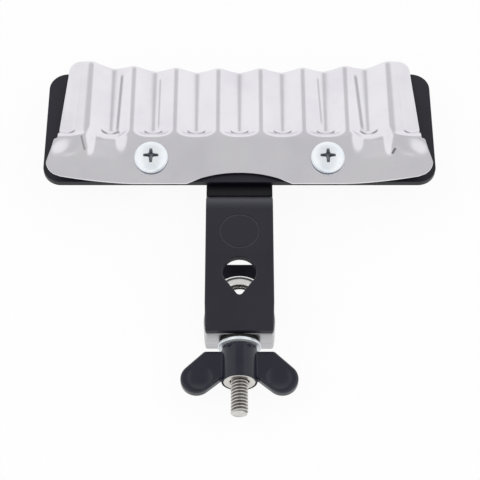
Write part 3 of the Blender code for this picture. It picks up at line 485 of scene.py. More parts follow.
def black_paint():
    """Satin powder coat: fine orange peel, a faint cloudiness, a paler ring line, a painted sheen on the bend
    and painted shade under the sheet's arch.
    """
    shader = Shader("black_paint", Metallic=0.0, IOR=1.40)
    peel = shader.noise(1500.0, 2.0)
    cloud = shader.noise(60.0)
    x, y, z = shader.axes()
    out = (x * x + (y - ROD_TO_RING) * (y - ROD_TO_RING)).math("SQRT")
    ring = abs(out - RING_RADIUS).ramp(*RING_MARK_EDGE) * z.ramp(*RING_MARK_LEVEL)
    colour = shader.blend(cloud.ramp(0.3, 0.7), PAINT, PAINT_CLOUD)
    colour = shader.blend(ring * 0.6, colour, PAINT_RING)
    # Painted highlight: the bar's upper bend is lighter in the colour, standing in for its sheen.
    colour = shader.blend(stretch_of_bar(y, z, *BEND_SHEEN) * 0.5, colour, PAINT_SHEEN)
    # Painted shade: the bar's low stretch under the sheet's arch is darkened in the colour.
    colour = shader.blend(stretch_of_bar(y, z, *ARCH_SHADE) * 0.9, colour, PAINT_SHADE)
    return shader.wear(colour, 0.34 + cloud * 0.08 + peel * 0.05, shader.bump(peel, 0.00002, 0.35))


def stretch_of_bar(y, z, start, end, level):
    """A mask over one stretch of the bar, between two places along it and on one side of a level."""
    return y.ramp(*start) * y.ramp(*end) * z.ramp(*level)


def brushed_block():
    """Bare aluminium with brush lines across it."""
    shader = Shader("brushed_block", Metallic=1.0)
    line = shader.noise(1.0, 3.0, 0.6, (30, 2600, 2600))
    wide = shader.noise(1.0, 2.0, stretch=(10, 500, 500))
    colour = shader.blend(line.ramp(0.3, 0.7), BLOCK_LINE, BLOCK_METAL)
    roughness = 0.26 + line * 0.12 + wide * 0.06
    return shader.wear(colour, roughness, shader.bump(line + wide * 0.5, 0.00002, 0.6))


def bolt_chrome():
    """Bright plating on the eye, duller on the shank, with painted shade in the thread's roots."""
    shader = Shader("bolt_chrome", Metallic=1.0)
    haze = shader.noise(260.0, roughness=0.6)
    x, y, z = shader.axes()
    shank = y.ramp(EYE_Y - EYE_INNER_RADIUS - 2 * EYE_WIRE_RADIUS, DULL_SHANK_Y)
    depth = THREAD_RADIUS - (x * x + z * z).math("SQRT")
    # Painted shade: the thread's roots are darkened in the colour.
    root = depth.ramp(*ROOT_SHADE) * shank * y.ramp(BOLT_TIP, BOLT_TIP + BOLT_CHAMFER)
    bright = shader.blend(haze.ramp(0.35, 0.7), CHROME, CHROME_HAZE)
    dull = shader.blend(haze.ramp(0.35, 0.7), SHANK, SHANK_HAZE)
    colour = shader.blend(root * 0.85, shader.blend(shank, bright, dull), SHANK_ROOT_SHADE)
    return shader.wear(colour, 0.15 + haze * 0.12 + shank * 0.10, shader.bump(haze, 0.00001, 0.3))


def zinc():
    """Bright zinc plate, bluish and cloudy, with painted shade in the screws' recesses and round their rims.
    """
    shader = Shader("zinc", Metallic=0.6)
    cloud = shader.noise(330.0, 4.0, 0.6)
    fine = shader.noise(2200.0, 2.0)
    x, y, z = shader.axes()
    across, up = abs(x) - SCREW_X, z - SCREW_SEAT
    along = (y - SCREW_Y) * cos(FLANGE_LEAN) + up * sin(FLANGE_LEAN)
    height = up * cos(FLANGE_LEAN) - (y - SCREW_Y) * sin(FLANGE_LEAN)
    out = (across * across + along * along) / SCREW_HEAD_RADIUS ** 2
    dome = (1 - out).math("MAXIMUM", 0.0).math("SQRT") * (SCREW_HEAD_HEIGHT - SCREW_HEAD_RIM)
    depth = dome + SCREW_HEAD_RIM - height
    # Painted shade: the cross recess and the gap under each head's rim are darkened in the colour.
    recess = depth.ramp(*RECESS_SHADE) * out.ramp(*RECESS_REACH) * height.ramp(*RECESS_LEVEL)
    rim = height.ramp(*RIM_LEVEL) * out.ramp(*RIM_SHADE_REACH) * height.ramp(*RIM_FOOT)
    colour = shader.blend(cloud.ramp(0.3, 0.7), ZINC, ZINC_CLOUD)
    colour = shader.blend(recess.math("MAXIMUM", rim) * 0.80, colour, ZINC_SHADE)
    return shader.wear(colour, 0.26 + cloud * 0.14, shader.bump(fine, 0.00001, 0.3))


def dark_zinc():
    """Dull plated steel of the hidden fasteners."""
    shader = Shader("dark_zinc", Metallic=1.0)
    cloud = shader.noise(400.0, 4.0, 0.6)
    colour = shader.blend(cloud.ramp(0.3, 0.7), DULL_ZINC, DULL_ZINC_CLOUD)
    return shader.wear(colour, 0.36 + cloud * 0.14, shader.bump(cloud, 0.00001, 0.3))


def black_rubber():
    """Matt rubber with a fine grain."""
    shader = Shader("black_rubber", Metallic=0.0, IOR=1.45)
    grain = shader.noise(1800.0)
    colour = shader.blend(grain.ramp(0.3, 0.7), RUBBER, RUBBER_GRAIN)
    return shader.wear(colour, 0.62 + grain * 0.2, shader.bump(grain, 0.00003, 0.5))


def black_plastic():
    """Moulded plastic, semi-gloss, with a very fine spark finish."""
    shader = Shader("black_plastic", Metallic=0.0, IOR=1.52)
    spark = shader.noise(2600.0, 2.0)
    cloud = shader.noise(120.0)
    colour = shader.blend(cloud.ramp(0.3, 0.7), PLASTIC, PLASTIC_CLOUD)
    return shader.wear(colour, 0.17 + cloud * 0.05 + spark * 0.04, shader.bump(spark, 0.000015, 0.3))


FINISHES = {maker.__name__: maker() for maker in (
    sheet_steel, black_paint, brushed_block, bolt_chrome, zinc, dark_zinc, black_rubber, black_plastic)}


# Modelling


def outward(bm):
    """Turn every face of a solid outwards."""
    bmesh.ops.recalc_face_normals(bm, faces=bm.faces[:])
    return bm


def leaned(bm, angle):
    """Turn a solid about X, from +Y towards +Z."""
    bmesh.ops.rotate(bm, verts=bm.verts[:], cent=(0, 0, 0), matrix=Matrix.Rotation(angle, 3, "X"))
    return bm


def middle(low, high):
    """The middle of a box, on the level of the rod's origin."""
    return Vector(((low.x + high.x) / 2, (low.y + high.y) / 2, 0))


def within(share):
    """A share held between 0 and 1."""
    return min(1.0, max(0.0, share))


def turned(profile, steps=ROUND, closed=False):
    """Spin (radius, height) points about Z. An open profile starts and ends on the axis."""
    bm = bmesh.new()
    verts = [bm.verts.new((radius, 0, height)) for radius, height in profile]
    edges = [bm.edges.new(pair) for pair in zip(verts, verts[1:])]
    if closed:
        edges.append(bm.edges.new((verts[-1], verts[0])))
    bmesh.ops.spin(bm, geom=verts + edges, cent=(0, 0, 0), axis=(0, 0, 1), angle=2 * pi,
                   steps=steps, use_merge=True, use_duplicate=False)
    bmesh.ops.remove_doubles(bm, verts=bm.verts[:], dist=TOUCH)
    return outward(bm)


def arc(centre, radius, start, end, steps):
    """Points round a centre from one angle to another."""
    angles = [start + (end - start) * step / steps for step in range(steps + 1)]
    return [(centre[0] + radius * cos(angle), centre[1] + radius * sin(angle)) for angle in angles]


def corner(point, radius, quadrant):
    """A quarter round inside a square corner; the quadrant tells which way the corner points."""
    sides = {0: (-1, -1), 1: (1, -1), 2: (1, 1), 3: (-1, 1)}[quadrant]
    centre = (point[0] + sides[0] * radius, point[1] + sides[1] * radius)
    return arc(centre, radius, quadrant * pi / 2, (quadrant + 1) * pi / 2, 4)


def smooth(share):
    """From 0 to 1 with level ends."""
    share = within(share)
    return share * share * (3 - 2 * share)


def rod(radius, low, high, steps=PLAIN):
    """A plain cylinder about Z."""
    return turned([(0, low), (radius, low), (radius, high), (0, high)], steps)


def washer(outer, inner, thickness, rounding):
    """A flat ring from z = 0 up with rounded edges."""
    outside = corner((outer, 0), rounding, 3) + corner((outer, thickness), rounding, 0)
    inside = [(inner, thickness), (inner, 0)]
    return turned(outside + inside, closed=True)


def slab(outline, bottom, top):
    """Extrude a flat outline of (x, y) points from z = bottom to z = top."""
    bm = bmesh.new()
    face = bm.faces.new([bm.verts.new((x, y, bottom)) for x, y in outline])
    grown = bmesh.ops.extrude_face_region(bm, geom=[face])
    lifted = [item for item in grown["geom"] if isinstance(item, bmesh.types.BMVert)]
    bmesh.ops.translate(bm, verts=lifted, vec=(0, 0, top - bottom))
    return outward(bm)


def soften(bm, width, segments=3):
    """Round every hard edge."""
    edges = [edge for edge in bm.edges if edge.is_manifold and edge.calc_face_angle() > HARD]
    bmesh.ops.bevel(bm, geom=edges, affect="EDGES", offset=width, segments=segments, profile=0.5,
                    material=-1, clamp_overlap=True)
    return bm


def rounded_rectangle(low, high, radius, steps=12):
    """The outline of a plate from its lowest corner to its highest, its corners as arcs."""
    corners = ((high.x - radius, high.y - radius), (low.x + radius, high.y - radius),
               (low.x + radius, low.y + radius), (high.x - radius, low.y + radius))
    return [point for index, centre in enumerate(corners)
            for point in arc(centre, radius, index * pi / 2, (index + 1) * pi / 2, steps)]


def shifted(bm, place, towards_nut=False):
    """Move a solid; towards_nut first turns its +Z to face the wing nut."""
    if towards_nut:
        leaned(bm, pi / 2)
    bmesh.ops.translate(bm, verts=bm.verts[:], vec=place)
    return bm


def tilted(bm, place):
    """Set a solid on the flange: leaned by the flange's slope, then moved."""
    return shifted(leaned(bm, FLANGE_LEAN), place)


def as_object(bm, name="temporary"):
    """A solid as an object in the scene."""
    mesh = bpy.data.meshes.new(name)
    bm.to_mesh(mesh)
    bm.free()
    obj = bpy.data.objects.new(name, mesh)
    bpy.context.scene.collection.objects.link(obj)
    return obj


def applied(obj):
    """The object's mesh with its modifiers, as a bmesh. The object goes."""
    bpy.context.view_layer.update()
    shown = obj.evaluated_get(bpy.context.evaluated_depsgraph_get())
    mesh = bpy.data.meshes.new_from_object(shown)
    bm = bmesh.new()
    bm.from_mesh(mesh)
    bpy.data.objects.remove(obj, do_unlink=True)
    bpy.data.meshes.remove(mesh)
    return bm


def combined(bm, other, operation="DIFFERENCE"):
    """One solid cut by, joined to or kept inside another."""
    obj, tool = as_object(bm), as_object(other)
    modifier = obj.modifiers.new("combine", "BOOLEAN")
    modifier.operation, modifier.solver, modifier.object = operation, "EXACT", tool
    result = applied(obj)
    bpy.data.objects.remove(tool, do_unlink=True)
    return result


def joined(bm, other):
    """Two shells kept in one solid, the second with its end inside the first."""
    mesh = bpy.data.meshes.new("temporary")
    other.to_mesh(mesh)
    other.free()
    bm.from_mesh(mesh)
    bpy.data.meshes.remove(mesh)
    return bm


def remeshed(bm, voxel, smoothing):
    """Flow a joined solid into one skin, as moulding does."""
    obj = as_object(bm)
    skin = obj.modifiers.new("skin", "REMESH")
    skin.mode, skin.voxel_size = "VOXEL", voxel
    ease = obj.modifiers.new("ease", "SMOOTH")
    ease.factor, ease.iterations = 0.5, smoothing
    return applied(obj)


def piece(name, bm, slot, node, body="root", sharp=38, weighted=True):
    """Keep a finished solid as a piece that stands for one CAD node."""
    obj = as_object(bm, name)
    obj.data.materials.append(FINISHES[slot])
    obj.data.shade_smooth()
    obj.data.set_sharp_from_angle(angle=radians(sharp))
    if weighted:
        normals = obj.modifiers.new("normals", "WEIGHTED_NORMAL")
        normals.keep_sharp = True
    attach(obj, body)
    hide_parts(node)
    return obj


# Clamp


def teardrop(radius):
    """The rod hole: a circle whose front is drawn out to a point towards the wing nut."""
    tip = (0, -radius * sqrt(2) + ROD_HOLE_TIP_ROUND * (sqrt(2) - 1))
    round_part = arc((0, 0), radius, -pi / 4, 1.25 * pi, 56)
    return round_part + arc(tip, ROD_HOLE_TIP_ROUND, 1.25 * pi, 1.75 * pi, 4)


def rod_hole(lip_level, inner_level):
    """A cutter for one wall's rod hole, with its outer rim rounded over."""
    up = 1 if lip_level > inner_level else -1
    bm = bmesh.new()
    levels = [(inner_level - up * OVERCUT, 0.0)]
    levels += [(lip_level + up * (height - ROD_HOLE_LIP), ROD_HOLE_LIP - out)
               for out, height in arc((0, 0), ROD_HOLE_LIP, 0, pi / 2, 4)]
    levels.append((lip_level + up * OVERCUT, ROD_HOLE_LIP))
    loops = []
    for level, grow in levels:
        verts = [bm.verts.new((x, y, level)) for x, y in teardrop(ROD_HOLE_RADIUS + grow)]
        loops.append([bm.edges.new(pair) for pair in zip(verts, verts[1:] + verts[:1])])
    for lower, upper in zip(loops, loops[1:]):
        bmesh.ops.bridge_loops(bm, edges=lower + upper)
    for end in (loops[0], loops[-1]):
        bmesh.ops.edgeloop_fill(bm, edges=end)
    return outward(bm)


def strap_path():
    """The bar's middle line as (y, z), from its front end to its tail under the plate."""
    radius, web = STRAP_BEND_RADIUS, STRAP_JOGGLE_WEB
    across = sqrt(4 * radius * radius + web * web)
    bend = acos((2 * radius - STRAP_JOGGLE_DROP) / across) - atan(web / (2 * radius))
    top = (WALL_GAP + STRAP_THICKNESS) / 2
    low_start = ROD_TO_PLATE - JOGGLE_TO_PLATE
    bend_start = low_start - 2 * radius * sin(bend) - web * cos(bend)
    low = top - STRAP_JOGGLE_DROP
    fall_start = STRAP_FRONT + STRAP_NOSE_LENGTH
    return ([(STRAP_FRONT, top - STRAP_NOSE_FALL), (fall_start, top)]
            + [(fall_start + STRAP_NOSE_TAPER * share, top) for share in (0.25, 0.5, 0.75, 1)]
            + arc((bend_start, top - radius), radius, pi / 2, pi / 2 - bend, 12)
            + arc((low_start, low + radius), radius, -pi / 2 - bend, -pi / 2, 12) + [(STRAP_TAIL_END, low)])


def offset_path(points, distance):
    """The path moved sideways by a distance, kept even round its bends."""
    points = [Vector(point) for point in points]
    legs = [(end - start).normalized() for start, end in zip(points, points[1:])]
    moved = []
    for point, incoming, outgoing in zip(points, legs[:1] + legs, legs + legs[-1:]):
        normal = (incoming + outgoing).orthogonal().normalized()
        moved.append(point + normal * distance / max(0.5, normal.dot(incoming.orthogonal())))
    return moved


def clamp_strap():
    """The bar with its bends, its narrowed nose, the rod hole and the ring line."""
    path = strap_path()
    half = STRAP_THICKNESS / 2
    outline = offset_path(path, half) + offset_path(path, -half)[::-1]
    bar = slab(outline, -STRAP_WIDTH / 2, STRAP_WIDTH / 2)
    turn = Matrix(((0, 0, 1), (1, 0, 0), (0, 1, 0)))
    bmesh.ops.transform(bar, verts=bar.verts[:], matrix=turn.to_4x4())
    outward(bar)
    taper_end = STRAP_FRONT + STRAP_NOSE_LENGTH + STRAP_NOSE_TAPER
    for vert in bar.verts:
        share = smooth((taper_end - vert.co.y) / STRAP_NOSE_TAPER)
        vert.co.x *= 1 - share * STRAP_NOSE_NARROWING / STRAP_WIDTH
    soften(bar, STRAP_EDGE, 4)
    bar = combined(bar, rod_hole(STRAP_TOP, WALL_GAP / 2))
    line = arc((RING_RADIUS, STRAP_TOP + RING_GROOVE_LIFT), RING_GROOVE_RADIUS, 0, 2 * pi, 10)[:-1]
    bar = combined(bar, shifted(turned(line, FINE, closed=True), (0, ROD_TO_RING, 0)))
    return piece("clamp_strap_bar", bar, "black_paint", "clamp_strap", sharp=30)


def lower_jaw():
    """The clamp's second wall, under the block."""
    low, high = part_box("lower_jaw")
    jaw = soften(slab(rounded_rectangle(low, high, JAW_CORNER), low.z, high.z), JAW_EDGE, 4)
    jaw = combined(jaw, rod_hole(low.z, high.z))
    return piece("lower_jaw_plate", drilled_for_jaw_screws(jaw), "black_paint", "lower_jaw")


def jaw_screw_places():
    """The side, box, place and head radius of each jaw screw."""
    for side in ("left", "right"):
        low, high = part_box("jaw_screw_" + side)
        yield side, low, high, middle(low, high), (high.x - low.x) / 2


def drilled_for_jaw_screws(bm):
    """Countersunk holes for the jaw screws."""
    for side, low, high, place, head in jaw_screw_places():
        wide, narrow = head + JAW_SCREW_GAP, JAW_SCREW_SHANK + JAW_SCREW_GAP
        start, end = low.z - OVERCUT, high.z + OVERCUT
        profile = [(0, start), (wide, start), (wide, low.z), (narrow, low.z + head - JAW_SCREW_SHANK),
                   (narrow, end), (0, end)]
        bm = combined(bm, shifted(turned(profile, SMALL), place))
    return bm


def clamp_block():
    """The bare block with its swelled sides, the pocket for the eye and the bolt's bore."""
    low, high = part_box("clamp_block")
    half_depth = BLOCK_DEPTH / 2
    side = [(BLOCK_HALF_WIDTH, half_depth * share / 10) for share in range(-8, 9)]
    front = arc((BLOCK_HALF_WIDTH - BLOCK_CORNER, BLOCK_CORNER - half_depth), BLOCK_CORNER, -pi / 2, 0, 6)
    back = arc((BLOCK_HALF_WIDTH - BLOCK_CORNER, half_depth - BLOCK_CORNER), BLOCK_CORNER, 0, pi / 2, 6)
    right = [(x + BLOCK_SIDE_SWELL * (1 - (y / half_depth) ** 2), BLOCK_FRONT + half_depth + y)
             for x, y in front + side + back]
    outline = right + [(-x, y) for x, y in reversed(right)]
    block = soften(slab(outline, low.z, high.z), BLOCK_EDGE)
    pocket = rod(EYE_INNER_RADIUS + 2 * EYE_WIRE_RADIUS + GAP, low.z - OVERCUT, high.z + OVERCUT, FINE)
    block = combined(block, shifted(pocket, (0, EYE_Y, 0)))
    bore = rod(BOLT_HOLE_RADIUS, -2 * BLOCK_DEPTH, OVERCUT)
    block = combined(block, shifted(bore, (0, BLOCK_FRONT, 0), True))
    return piece("clamp_block_bar", block, "brushed_block", "clamp_block")


def jaw_screws():
    """Countersunk cross-head screws, up through the jaw and the block."""
    for side, low, high, place, head in jaw_screw_places():
        shank = JAW_SCREW_SHANK
        profile = [(0, low.z), (head - JAW_SCREW_RIM, low.z), (head, low.z + JAW_SCREW_RIM),
                   (shank, low.z + head - shank), (shank, high.z - JAW_SCREW_TIP),
                   (shank - JAW_SCREW_TIP, high.z), (0, high.z)]
        cross = leaned(cross_recess(*JAW_SCREW_CROSS), pi)
        screw = combined(turned(profile, SMALL), shifted(cross, (0, 0, low.z)))
        piece("jaw_screw_%s_csk" % side, shifted(screw, place), "dark_zinc", "jaw_screw_" + side)


def thread_radius(height, angle, start):
    """A cut thread: flat crests, rounded roots, fading out at its start."""
    phase = (height - start) / THREAD_PITCH - angle / (2 * pi)
    wave = abs(2 * (phase % 1.0) - 1)
    fade = within((height - start) / THREAD_PITCH)
    return THREAD_RADIUS - THREAD_DEPTH * fade * smooth((wave - THREAD_CREST_SHARE) / THREAD_FLANK_SHARE)


def bolt_shank(eye_middle):
    """The shank from inside the eye's wire to its tip, grown ring by ring with its thread."""
    tip = EYE_Y - BOLT_TIP
    thread_end = tip - BOLT_CHAMFER
    thread_start = thread_end - THREAD_TURNS * THREAD_PITCH
    plain = [(eye_middle + past, radius) for past, radius in EYE_NECK]
    plain += [(eye_middle + EYE_WIRE_RADIUS + EYE_NECK_END, THREAD_RADIUS), (thread_start, THREAD_RADIUS)]
    rows = THREAD_TURNS * THREAD_ROWS
    heights = [height for height, radius in plain]
    heights += [thread_start + (thread_end - thread_start) * row / rows for row in range(1, rows + 1)]
    heights += [tip - BOLT_CHAMFER / 2, tip]
    bm = bmesh.new()
    verts = bmesh.ops.create_circle(bm, cap_ends=True, segments=PLAIN, radius=THREAD_RADIUS)["verts"]
    front = bm.edges[:]
    for index, height in enumerate(heights):
        if index:
            grown = bmesh.ops.extrude_edge_only(bm, edges=front)["geom"]
            verts = [item for item in grown if isinstance(item, bmesh.types.BMVert)]
            edges = [item for item in grown if isinstance(item, bmesh.types.BMEdge)]
            front = [edge for edge in edges if set(edge.verts) <= set(verts)]
        for vert in verts:
            angle = atan2(vert.co.y, vert.co.x)
            radius = plain[index][1] if index < len(plain) else thread_radius(height, angle, thread_start)
            radius = min(radius, THREAD_RADIUS - max(0.0, height - thread_end))
            vert.co = (radius * cos(angle), radius * sin(angle), height)
    bmesh.ops.edgeloop_fill(bm, edges=front)
    return outward(bm)


def eye_bolt():
    """The plated bolt: its eye round the rod, its shank through the block and its cut thread."""
    middle = EYE_INNER_RADIUS + EYE_WIRE_RADIUS
    eye = bmesh.new()
    bmesh.ops.create_circle(eye, cap_ends=False, segments=SMALL, radius=EYE_WIRE_RADIUS,
                            matrix=Matrix.Translation((middle, 0, 0)))
    bmesh.ops.spin(eye, geom=eye.verts[:] + eye.edges[:], cent=(0, 0, 0), axis=(0, 1, 0), angle=2 * pi,
                   steps=FINE, use_merge=True, use_duplicate=False)
    outward(eye)
    bolt = shifted(combined(eye, bolt_shank(middle), "UNION"), (0, EYE_Y, 0), True)
    return piece("eye_bolt_forged", bolt, "bolt_chrome", "eye_bolt", "eye", sharp=50, weighted=False)


def bolt_washers():
    """The rubber washer on the block and the steel one under the nut."""
    for node, slot, edge in (("rubber_washer", "black_rubber", RUBBER_EDGE),
                             ("flat_washer", "zinc", WASHER_EDGE)):
        low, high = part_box(node)
        ring = washer((high.x - low.x) / 2, BOLT_HOLE_RADIUS, high.y - low.y, edge)
        piece(node + "_disc", shifted(ring, (0, high.y, 0), True), slot, node)


# Wing nut


def tangent_angle(point, centre, radius, side):
    """Angle round the circle at which a line from the point touches it, on the given side."""
    offset = Vector(point) - Vector(centre)
    return atan2(offset.y, offset.x) + side * acos(radius / offset.length)


def wing_outline(side):
    """One wing from inside the hub: its shoulder, its round lobe and its heel."""
    root = BOLT_HOLE_RADIUS + INSERT_WALL / 2
    heel = (root, HUB_LENGTH - WING_HEEL_RISE)
    start = tangent_angle(WING_SHOULDER, WING_LOBE, WING_LOBE_RADIUS, 1)
    sweep = (tangent_angle(heel, WING_LOBE, WING_LOBE_RADIUS, -1) - start) % (2 * pi)
    outline = [(root, WING_SHOULDER[1])]
    outline += arc((WING_SHOULDER[0] - WING_FILLET, WING_SHOULDER[1] + WING_FILLET), WING_FILLET,
                   -pi / 2, start, 6)
    outline += arc(WING_LOBE, WING_LOBE_RADIUS, start, start + sweep, 40) + [heel]
    return [(side * x, height) for x, height in outline]


def wing(side):
    """One wing, standing along Z, with a thumb dimple in each face."""
    ball = (DIMPLE_RADIUS ** 2 + DIMPLE_DEPTH ** 2) / (2 * DIMPLE_DEPTH)
    reach = asin(DIMPLE_RADIUS / ball) * DIMPLE_OVERRUN
    bowl = arc((0, ball - DIMPLE_DEPTH), ball, -pi / 2, reach - pi / 2, DIMPLE_STEPS)
    half = WING_THICKNESS / 2
    flat = soften(slab(wing_outline(side), -half, half), WING_EDGE, 4)
    for face in (0, pi):
        dimple = leaned(shifted(turned(bowl + [(0, OVERCUT)], PLAIN), (0, 0, half)), face)
        flat = combined(flat, shifted(dimple, (side * (WING_LOBE[0] - DIMPLE_INSET), WING_LOBE[1], 0)))
    return leaned(flat, pi / 2)


def wing_grip():
    """Hub and wings moulded as one, bored for the insert."""
    grip = turned([(0, 0), (HUB_RADIUS - COLLAR_STEP, 0), (HUB_RADIUS, COLLAR_LENGTH)]
                  + corner((HUB_RADIUS, HUB_LENGTH), HUB_EDGE, 0) + [(0, HUB_LENGTH)], FINE)
    for side in (-1, 1):
        grip = combined(grip, wing(side), "UNION")
    bore, wide = BOLT_HOLE_RADIUS + INSERT_WALL + GAP, INSERT_FLANGE_RADIUS + GAP
    recess, end = HUB_LENGTH - INSERT_RECESS - INSERT_FLANGE_THICKNESS - GAP, HUB_LENGTH + OVERCUT
    hole = turned([(0, -OVERCUT), (bore, -OVERCUT), (bore, recess), (wide, recess), (wide, end), (0, end)])
    grip = remeshed(combined(grip, hole), MOULD_VOXEL, MOULD_SMOOTHING)
    return piece("wing_grip_moulding", shifted(grip, (0, HUB_SEAT, 0), True), "black_plastic", "wing_grip",
                 "wing_nut", sharp=60, weighted=False)


def nut_insert():
    """The plated insert, its flange recessed in the hub's end."""
    outer = BOLT_HOLE_RADIUS + INSERT_WALL
    end = HUB_LENGTH - INSERT_RECESS
    start = end - INSERT_FLANGE_THICKNESS
    profile = [(BOLT_HOLE_RADIUS, 0), (outer, 0), (outer, start), (INSERT_FLANGE_RADIUS, start)]
    profile += corner((INSERT_FLANGE_RADIUS, end), INSERT_EDGE, 0)
    profile += [(BOLT_HOLE_RADIUS + INSERT_MOUTH, end), (BOLT_HOLE_RADIUS, end - INSERT_MOUTH)]
    insert = shifted(turned(profile, closed=True), (0, HUB_SEAT, 0), True)
    return piece("nut_insert_turned", insert, "bolt_chrome", "nut_insert", "wing_nut")


# Plate and fasteners


def base_plate():
    """The plate under the sheet, with its two screw holes."""
    low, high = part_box("base_plate")
    plate = slab(rounded_rectangle(low, high, PLATE_CORNER, 20), low.z, high.z)
    soften(plate, PLATE_EDGE)
    for side in (-1, 1):
        hole = rod(SCREW_RADIUS + GAP, low.z - OVERCUT, high.z + OVERCUT)
        plate = combined(plate, shifted(hole, (side * SCREW_X, SCREW_Y, 0)))
    return piece("base_plate_panel", plate, "black_paint", "base_plate")


def cross_recess(length, width, depth):
    """A cross-head recess as a cutter, open upwards, with its mouth at z = 0."""
    arm, half = length / 2, width / 2
    outline = []
    for quarter in range(4):
        turn = Matrix.Rotation(quarter * pi / 2, 2)
        points = ((arm, -half * 0.75), (arm, half * 0.75), (half * 1.5, half), (half, half * 1.5))
        outline += [tuple(turn @ Vector(point)) for point in points]
    bm = slab(outline, -depth, CROSS_CUTTER_RISE)
    floor = [vert for vert in bm.verts if vert.co.z < -depth / 2]
    bmesh.ops.scale(bm, verts=floor, vec=(0.40, 0.40, 1))
    return bm


def domed_screw(place, tip, head):
    """A cross-head screw: its wide domed head leans with the flange, its shank stands upright."""
    radius, rim = SCREW_HEAD_RADIUS, SCREW_HEAD_RIM
    rise = (SCREW_HEAD_HEIGHT - rim) / radius
    profile = [(0, -SCREW_SINK), (SCREW_RADIUS, -SCREW_SINK), (SCREW_RADIUS, 0)]
    profile += [(radius - inset, height) for inset, height in SCREW_HEAD_FOOT]
    profile += [(out, rim + up * rise) for out, up in arc((0, 0), radius, 0, pi / 2, 14)[:-1]]
    dome = turned(profile + [(0, SCREW_HEAD_HEIGHT)], FINE)
    dome = combined(dome, shifted(cross_recess(*SCREW_CROSS), (0, 0, SCREW_HEAD_HEIGHT)))
    end = head + SCREW_OVERLAP
    shank = turned([(0, tip), (SCREW_RADIUS - SCREW_TIP, tip), (SCREW_RADIUS, tip + SCREW_TIP),
                    (SCREW_RADIUS, end), (0, end)], PLAIN)
    return joined(tilted(dome, (place[0], place[1], head)), shifted(shank, place))


def sheet_screws():
    """The two screws through the flange, each with its spacer, its split washer and its nut."""
    for side in ("left", "right"):
        low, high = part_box("sheet_screw_" + side)
        place = middle(low, high)
        screw = domed_screw(place, low.z, high.z - SCREW_HEAD_HEIGHT)
        piece("sheet_screw_%s_head" % side, screw, "zinc", "sheet_screw_" + side)
        for kind, form, slot, maker in (("sheet_spacer", "ring", "dark_zinc", spacer),
                                        ("lock_washer", "split", "zinc", split_washer),
                                        ("hex_nut", "chamfered", "zinc", hex_nut)):
            low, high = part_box("%s_%s" % (kind, side))
            part = shifted(maker(high.z - low.z), place + Vector((0, 0, low.z)))
            piece("%s_%s_%s" % (kind, side, form), part, slot, "%s_%s" % (kind, side))


def spacer(thickness):
    """A plain ring round the screw, between the sheet and the plate."""
    low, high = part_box("sheet_spacer_left")
    return washer((high.x - low.x) / 2, SCREW_RADIUS + GAP, thickness, WASHER_EDGE)


def split_washer(thickness):
    """A spring washer pressed flat: a ring with a slanting split."""
    inner, outer, edge = SCREW_RADIUS + GAP, LOCK_WASHER_RADIUS, LOCK_WASHER_EDGE
    profile = [(outer, edge), (outer, thickness - edge), (outer - edge, thickness), (inner, thickness),
               (inner, 0), (outer - edge, 0)]
    bm = bmesh.new()
    face = bm.faces.new([bm.verts.new((radius, 0, height)) for radius, height in profile])
    bmesh.ops.spin(bm, geom=[face, *face.edges, *face.verts], cent=(0, 0, 0), axis=(0, 0, 1),
                   angle=2 * pi - LOCK_WASHER_SPLIT, steps=SPLIT_STEPS, use_merge=False, use_duplicate=False)
    for vert in bm.verts:
        if abs(atan2(vert.co.y, vert.co.x)) < LOCK_WASHER_SPLIT * 1.5:
            vert.co.y += (vert.co.z - thickness / 2) * LOCK_WASHER_SLANT
    return outward(bm)


def hex_nut(height):
    """A hexagon nut with both its faces chamfered and its bore opened at both ends."""
    corners = NUT_FLATS / sqrt(3)
    nut = slab(arc((0, 0), corners, 0, 2 * pi, 6)[:-1], -OVERCUT, height + OVERCUT)
    wide = corners + TOOL_MARGIN
    fall = (wide - NUT_FACE_RADIUS) / 2
    chamfer = turned([(0, 0), (NUT_FACE_RADIUS, 0), (wide, fall), (wide, height - fall),
                      (NUT_FACE_RADIUS, height), (0, height)], NUT_STEPS)
    nut = combined(nut, chamfer, "INTERSECT")
    bore, mouth, end = SCREW_RADIUS + GAP, SCREW_RADIUS + GAP + NUT_MOUTH, NUT_MOUTH_REACH
    hole = turned([(0, -end), (mouth, -end), (bore, NUT_MOUTH_DEPTH), (bore, height - NUT_MOUTH_DEPTH),
                   (mouth, height + end), (0, height + end)], PLAIN)
    return combined(nut, hole)


def strap_rivets():
    """Dome-headed rivets through the plate and the strap's tail."""
    for name in ("front_left", "front_right", "back_left", "back_right"):
        low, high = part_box("strap_rivet_" + name)
        head = (high.x - low.x) / 2
        dome = [(out, up * RIVET_RISE / head) for out, up in arc((0, 0), head, 0, pi / 2, 10)[:-1]]
        bottom, top = low.z + RIVET_RISE, high.z - RIVET_RISE
        profile = [(0, low.z)] + [(radius, bottom - height) for radius, height in reversed(dome)]
        profile += [(RIVET_SHANK, bottom), (RIVET_SHANK, top)]
        profile += [(radius, top + height) for radius, height in dome] + [(0, high.z)]
        rivet = shifted(turned(profile, RIVET_STEPS), middle(low, high))
        piece("strap_rivet_%s_dome" % name, rivet, "dark_zinc", "strap_rivet_" + name)


# Scraper sheet


def flange_front(x):
    """How far the front edge lies behind its foremost line: the arch in the middle, the swept ends."""
    arch = ARCH_DEPTH * max(0.0, 1 - (abs(x) / ARCH_HALF_WIDTH) ** ARCH_ROUNDNESS)
    return arch + FLANGE_END_SWEEP * end_bend(x)


def end_bend(x):
    """How far out on the flange's bent end x is, from 0 where it starts to 1 at the end."""
    return (max(0.0, abs(x) - END_LIFT_START) / (FLANGE_HALF_WIDTH - END_LIFT_START)) ** END_BEND_POWER


